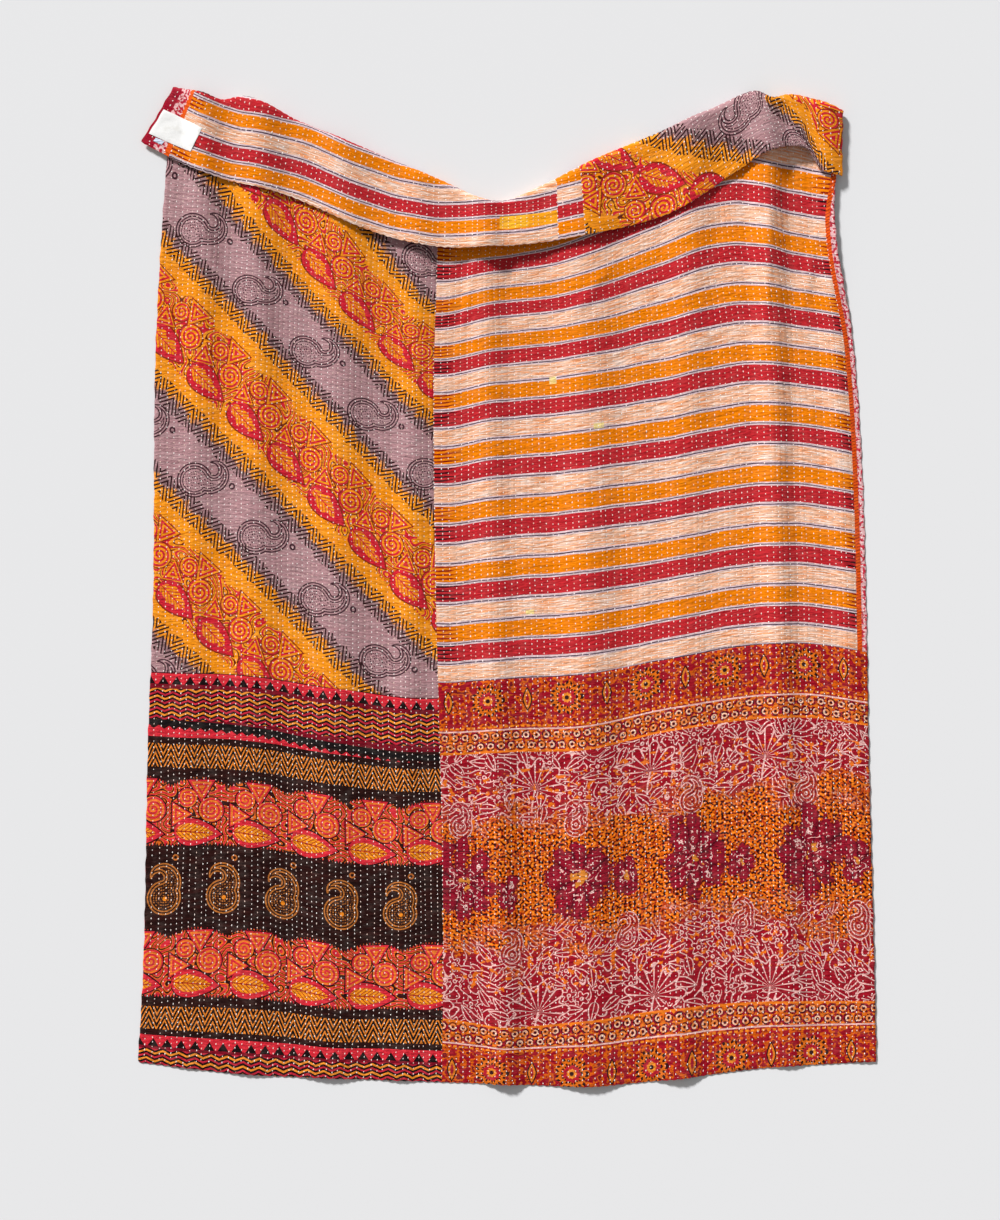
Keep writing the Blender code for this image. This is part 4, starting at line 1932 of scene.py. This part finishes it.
@dataclass(frozen=True)
class Label:
    """A small sewn piece on the back of the folded end.

    A corner is a share of the width and a share of the way from fold to hem.

    Attributes:
        node: CAD node that it stands for.
        slot: Material slot of that node; not used.
        corners: Fold left, fold right, hem right, hem left.
        size: Its flat width and height in metres.
        satin: Its finish.
        rest: Height of its under face over the middle surface.
        thickness: Thickness of the satin.
        cells: Points of its mesh across and down.
        sink: How far its sewn edges sink.
        seam: Width of cloth that sinks there.
        swell: Height of its own soft waves.
    """

    node: str
    slot: str
    corners: tuple
    size: tuple
    satin: Satin
    rest: float = 2.35 * MM
    thickness: float = 0.45 * MM
    cells: tuple = (61, 37)
    sink: float = 0.5 * MM
    seam: float = 6 * MM
    swell: float = 0.35 * MM

    def build(self, drape: Drape) -> bpy.types.Object:
        """Makes the piece as a thin shell that sinks a little at its sewn edges.

        Args:
            drape: Surface that it lies on.

        Returns:
            The piece.
        """
        across = np.linspace(0.0, 1.0, self.cells[0])[None, :]
        down = np.linspace(0.0, 1.0, self.cells[1])[:, None]
        fold_left, fold_right, hem_right, hem_left = (np.array(corner) for corner in self.corners)
        right, low = across[..., None], down[..., None]
        fold = fold_left * (1 - right) + fold_right * right
        hem = hem_left * (1 - right) + hem_right * right
        places = fold * (1 - low) + hem * low
        share, along = places[..., 0], (1 - places[..., 1]) * ROLL_END * MM
        width, height = self.size
        side_edge = np.minimum(across, 1 - across) * width
        end_edge = np.minimum(down, 1 - down) * height
        edge = np.minimum(side_edge, end_edge)
        sink = self.sink * (1 - np.clip(edge / self.seam, 0.0, 1.0)) ** 2
        swell = self.swell * np.sin(across * 11.0 + 0.7) * np.sin(down * 7.0 + 0.4)
        under = self.rest - sink + swell
        over = under + self.thickness
        uv = np.stack(np.broadcast_arrays(across * width, down * height), axis=2)
        outer, inner = drape.at(share, along, -over), drape.at(share, along, -under)
        name = self.node + "_cloth"
        keep = list(range(0, len(down), 4))
        piece = Shell(name, outer[:, ::-1], inner[:, ::-1], uv[:, ::-1], keep).object
        piece.data.materials.append(self.satin.material(name))
        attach(piece, "root")
        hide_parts(self.node)
        return piece


def patchwork() -> list[Panel]:
    """The panels of both faces, with their edges and prints.

    Returns:
        The panels, the front's first.
    """
    hem, foot = (0.0, 0.0), (CLOTH_LENGTH * MM, CLOTH_LENGTH * MM)
    patch_left, patch_right = PATCH_SHARES
    darns = (
        (0.234, 0.598, 0.014, 0.016),
        (0.320, 0.703, 0.020, 0.010),
        (0.180, 1.042, 0.016, 0.008),
    )
    stripes = StripePrint(period=0.1145, start=0.289, selvedge=True, mends=darns)
    flap_stripes = StripePrint(
        period=0.094, start=0.031, slant=0.036, left=0.050, right=0.950, rim=True,
        inset=(0.690, 0.802, 0.032, 0.056))
    flap_print = DiagonalPrint(
        slope=-39.2, start=0.2835, drop_start=0.193, lean=-36.0, tuck=0.395)
    flap_patch = StripePrint(period=0.094, start=0.036, right=0.300, left=-0.300)
    front, back = Side.FRONT, Side.BACK
    coarse = {"cell": 3.6 * MM, "parts": 2}
    return [
        Panel("front_diagonal_print", front, 0.0, SEAM_SHARE, hem, LEFT_SEAM, DiagonalPrint()),
        Panel("front_border_print", front, 0.0, SEAM_SHARE, LEFT_SEAM, foot, BorderPrint()),
        Panel("front_stripes", front, SEAM_SHARE, 1.0, hem, RIGHT_SEAM, stripes),
        Panel("front_floral_print", front, SEAM_SHARE, 1.0, RIGHT_SEAM, foot, FloralPrint()),
        Panel("back_stripes", back, 0.0, patch_left, hem, foot, flap_stripes, **coarse),
        Panel("back_patch", back, patch_left, patch_right, hem, foot, flap_patch, **coarse),
        Panel("back_print", back, patch_right, 1.0, hem, foot, flap_print, **coarse),
    ]


@dataclass
class Quilt:
    """The whole quilt: front and back patchwork, stitching, label and tab."""

    drape: Drape = field(default_factory=Drape)
    quilting: Quilting = field(default_factory=Quilting)

    def build(self) -> None:
        """Builds every piece in order."""
        cotton = Cotton()
        thread = Thread().material("thread")
        foot = CLOTH_LENGTH * MM
        panels = patchwork()
        for panel in panels:
            panel.build(self.drape, self.quilting, cotton)
        work = Needlework()
        for sewing in (
            work.rows("front_stitches_left", Side.FRONT, 0.0, SEAM_SHARE, self.quilting),
            work.rows("front_stitches_right", Side.FRONT, SEAM_SHARE, 1.0, self.quilting),
            work.rows("back_stitches_left", Side.BACK, 0.0, 0.5, self.quilting),
            work.rows("back_stitches_right", Side.BACK, 0.5, 1.0, self.quilting),
            work.hem("foot_hem_stitches", Side.FRONT, foot - 3 * MM),
            work.hem("top_hem_stitches", Side.BACK, 3 * MM),
        ):
            sewing.build(self.drape, self.quilting, thread)
        corners = ((0.004, 0.36), (0.066, 0.43), (0.060, 0.80), (0.003, 0.82))
        tab_corners = ((0.013, 0.83), (0.024, 0.825), (0.023, 0.89), (0.012, 0.895))
        blue = Satin("c3d3e6")
        for label in (
            Label("label", "label_satin", corners, (0.086, 0.054), Satin()),
            Label("label_tab", "tab_satin", tab_corners, (0.015, 0.010), blue, rest=2.2 * MM),
        ):
            label.build(self.drape)


@dataclass(frozen=True)
class Studio:
    """Plain pale floor, soft light and the camera straight above.

    Attributes:
        metres_per_pixel: Scale of the photograph.
        frame: Its width and height in pixels.
        middle: Where its centre falls on the floor.
        distance: Height of the camera.
        floor: Half the side of the floor.
        paint: The floor's colour, linear.
        sky: Light from all round.
        horizon: Brightness of the sky where the camera sees it, as the floor's.
        sun: Place and power of the key light, in watts for each square metre.
    """

    metres_per_pixel: float = 1.9 * MM
    frame: tuple = (1000, 1220)
    middle: tuple = (-0.0133, -0.0437)
    distance: float = 5.0
    floor: float = 60.0
    paint: tuple = (0.716, 0.716, 0.724, 1.0)
    sky: float = 0.33
    horizon: float = 0.80
    sun: tuple = ((-2.4, 3.6, 2.5), 4.95)

    def build(self) -> None:
        """Makes the floor, the lights, the sky and the camera."""
        self._floor()
        self._sky()
        self._sun(*self.sun)
        scene = bpy.context.scene
        scene.view_settings.view_transform = "Standard"
        lens = bpy.data.cameras.new("camera")
        lens.sensor_fit = "VERTICAL"
        lens.sensor_height = 24.0
        height = self.metres_per_pixel * self.frame[1]
        lens.lens = lens.sensor_height * self.distance / height
        camera = placed("camera", lens)
        camera.location = (*self.middle, self.distance)
        scene.camera = camera

    def _floor(self) -> None:
        """Lays a square floor with a dull pale paint."""
        size = self.floor
        corners = [(-size, -size, 0), (size, -size, 0), (size, size, 0), (-size, size, 0)]
        mesh = bpy.data.meshes.new("floor")
        mesh.from_pydata(corners, [], [(0, 1, 2, 3)])
        material, _, shader = coated("floor", 0.9, 0.0)
        shader.inputs["Base Color"].default_value = self.paint
        mesh.materials.append(material)
        floor = placed("floor", mesh)

    def _sky(self) -> None:
        """Lights the scene from all round, with a sky as bright as the floor in view."""
        world = bpy.data.worlds.new("studio")
        world.use_nodes = True
        nodes, links = world.node_tree.nodes, world.node_tree.links
        sky = nodes["Background"]
        sky.inputs[0].default_value = (1.0, 1.0, 1.0, 1.0)
        rays = nodes.new("ShaderNodeLightPath")
        strength = nodes.new("ShaderNodeMapRange")
        strength.inputs["To Min"].default_value = self.sky
        strength.inputs["To Max"].default_value = self.horizon
        links.new(rays.outputs["Is Camera Ray"], strength.inputs["Value"])
        links.new(strength.outputs[0], sky.inputs[1])
        bpy.context.scene.world = world

    @staticmethod
    def _sun(place: tuple, power: float) -> None:
        """Adds the key light: soft, even, from one side of the quilt's top.

        Args:
            place: Where it comes from.
            power: Power in watts for each square metre.
        """
        data = bpy.data.lights.new("key", "SUN")
        data.energy = power
        data.angle = math.radians(9.0)
        light = placed("key", data)
        light.location = place
        light.rotation_euler = (-Vector(place)).to_track_quat("-Z", "Y").to_euler()


def main() -> None:
    """Loads the frame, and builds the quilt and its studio."""
    logging.basicConfig(level=logging.INFO)
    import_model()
    Quilt().build()
    Studio().build()


if __name__ == "__main__":
    main()
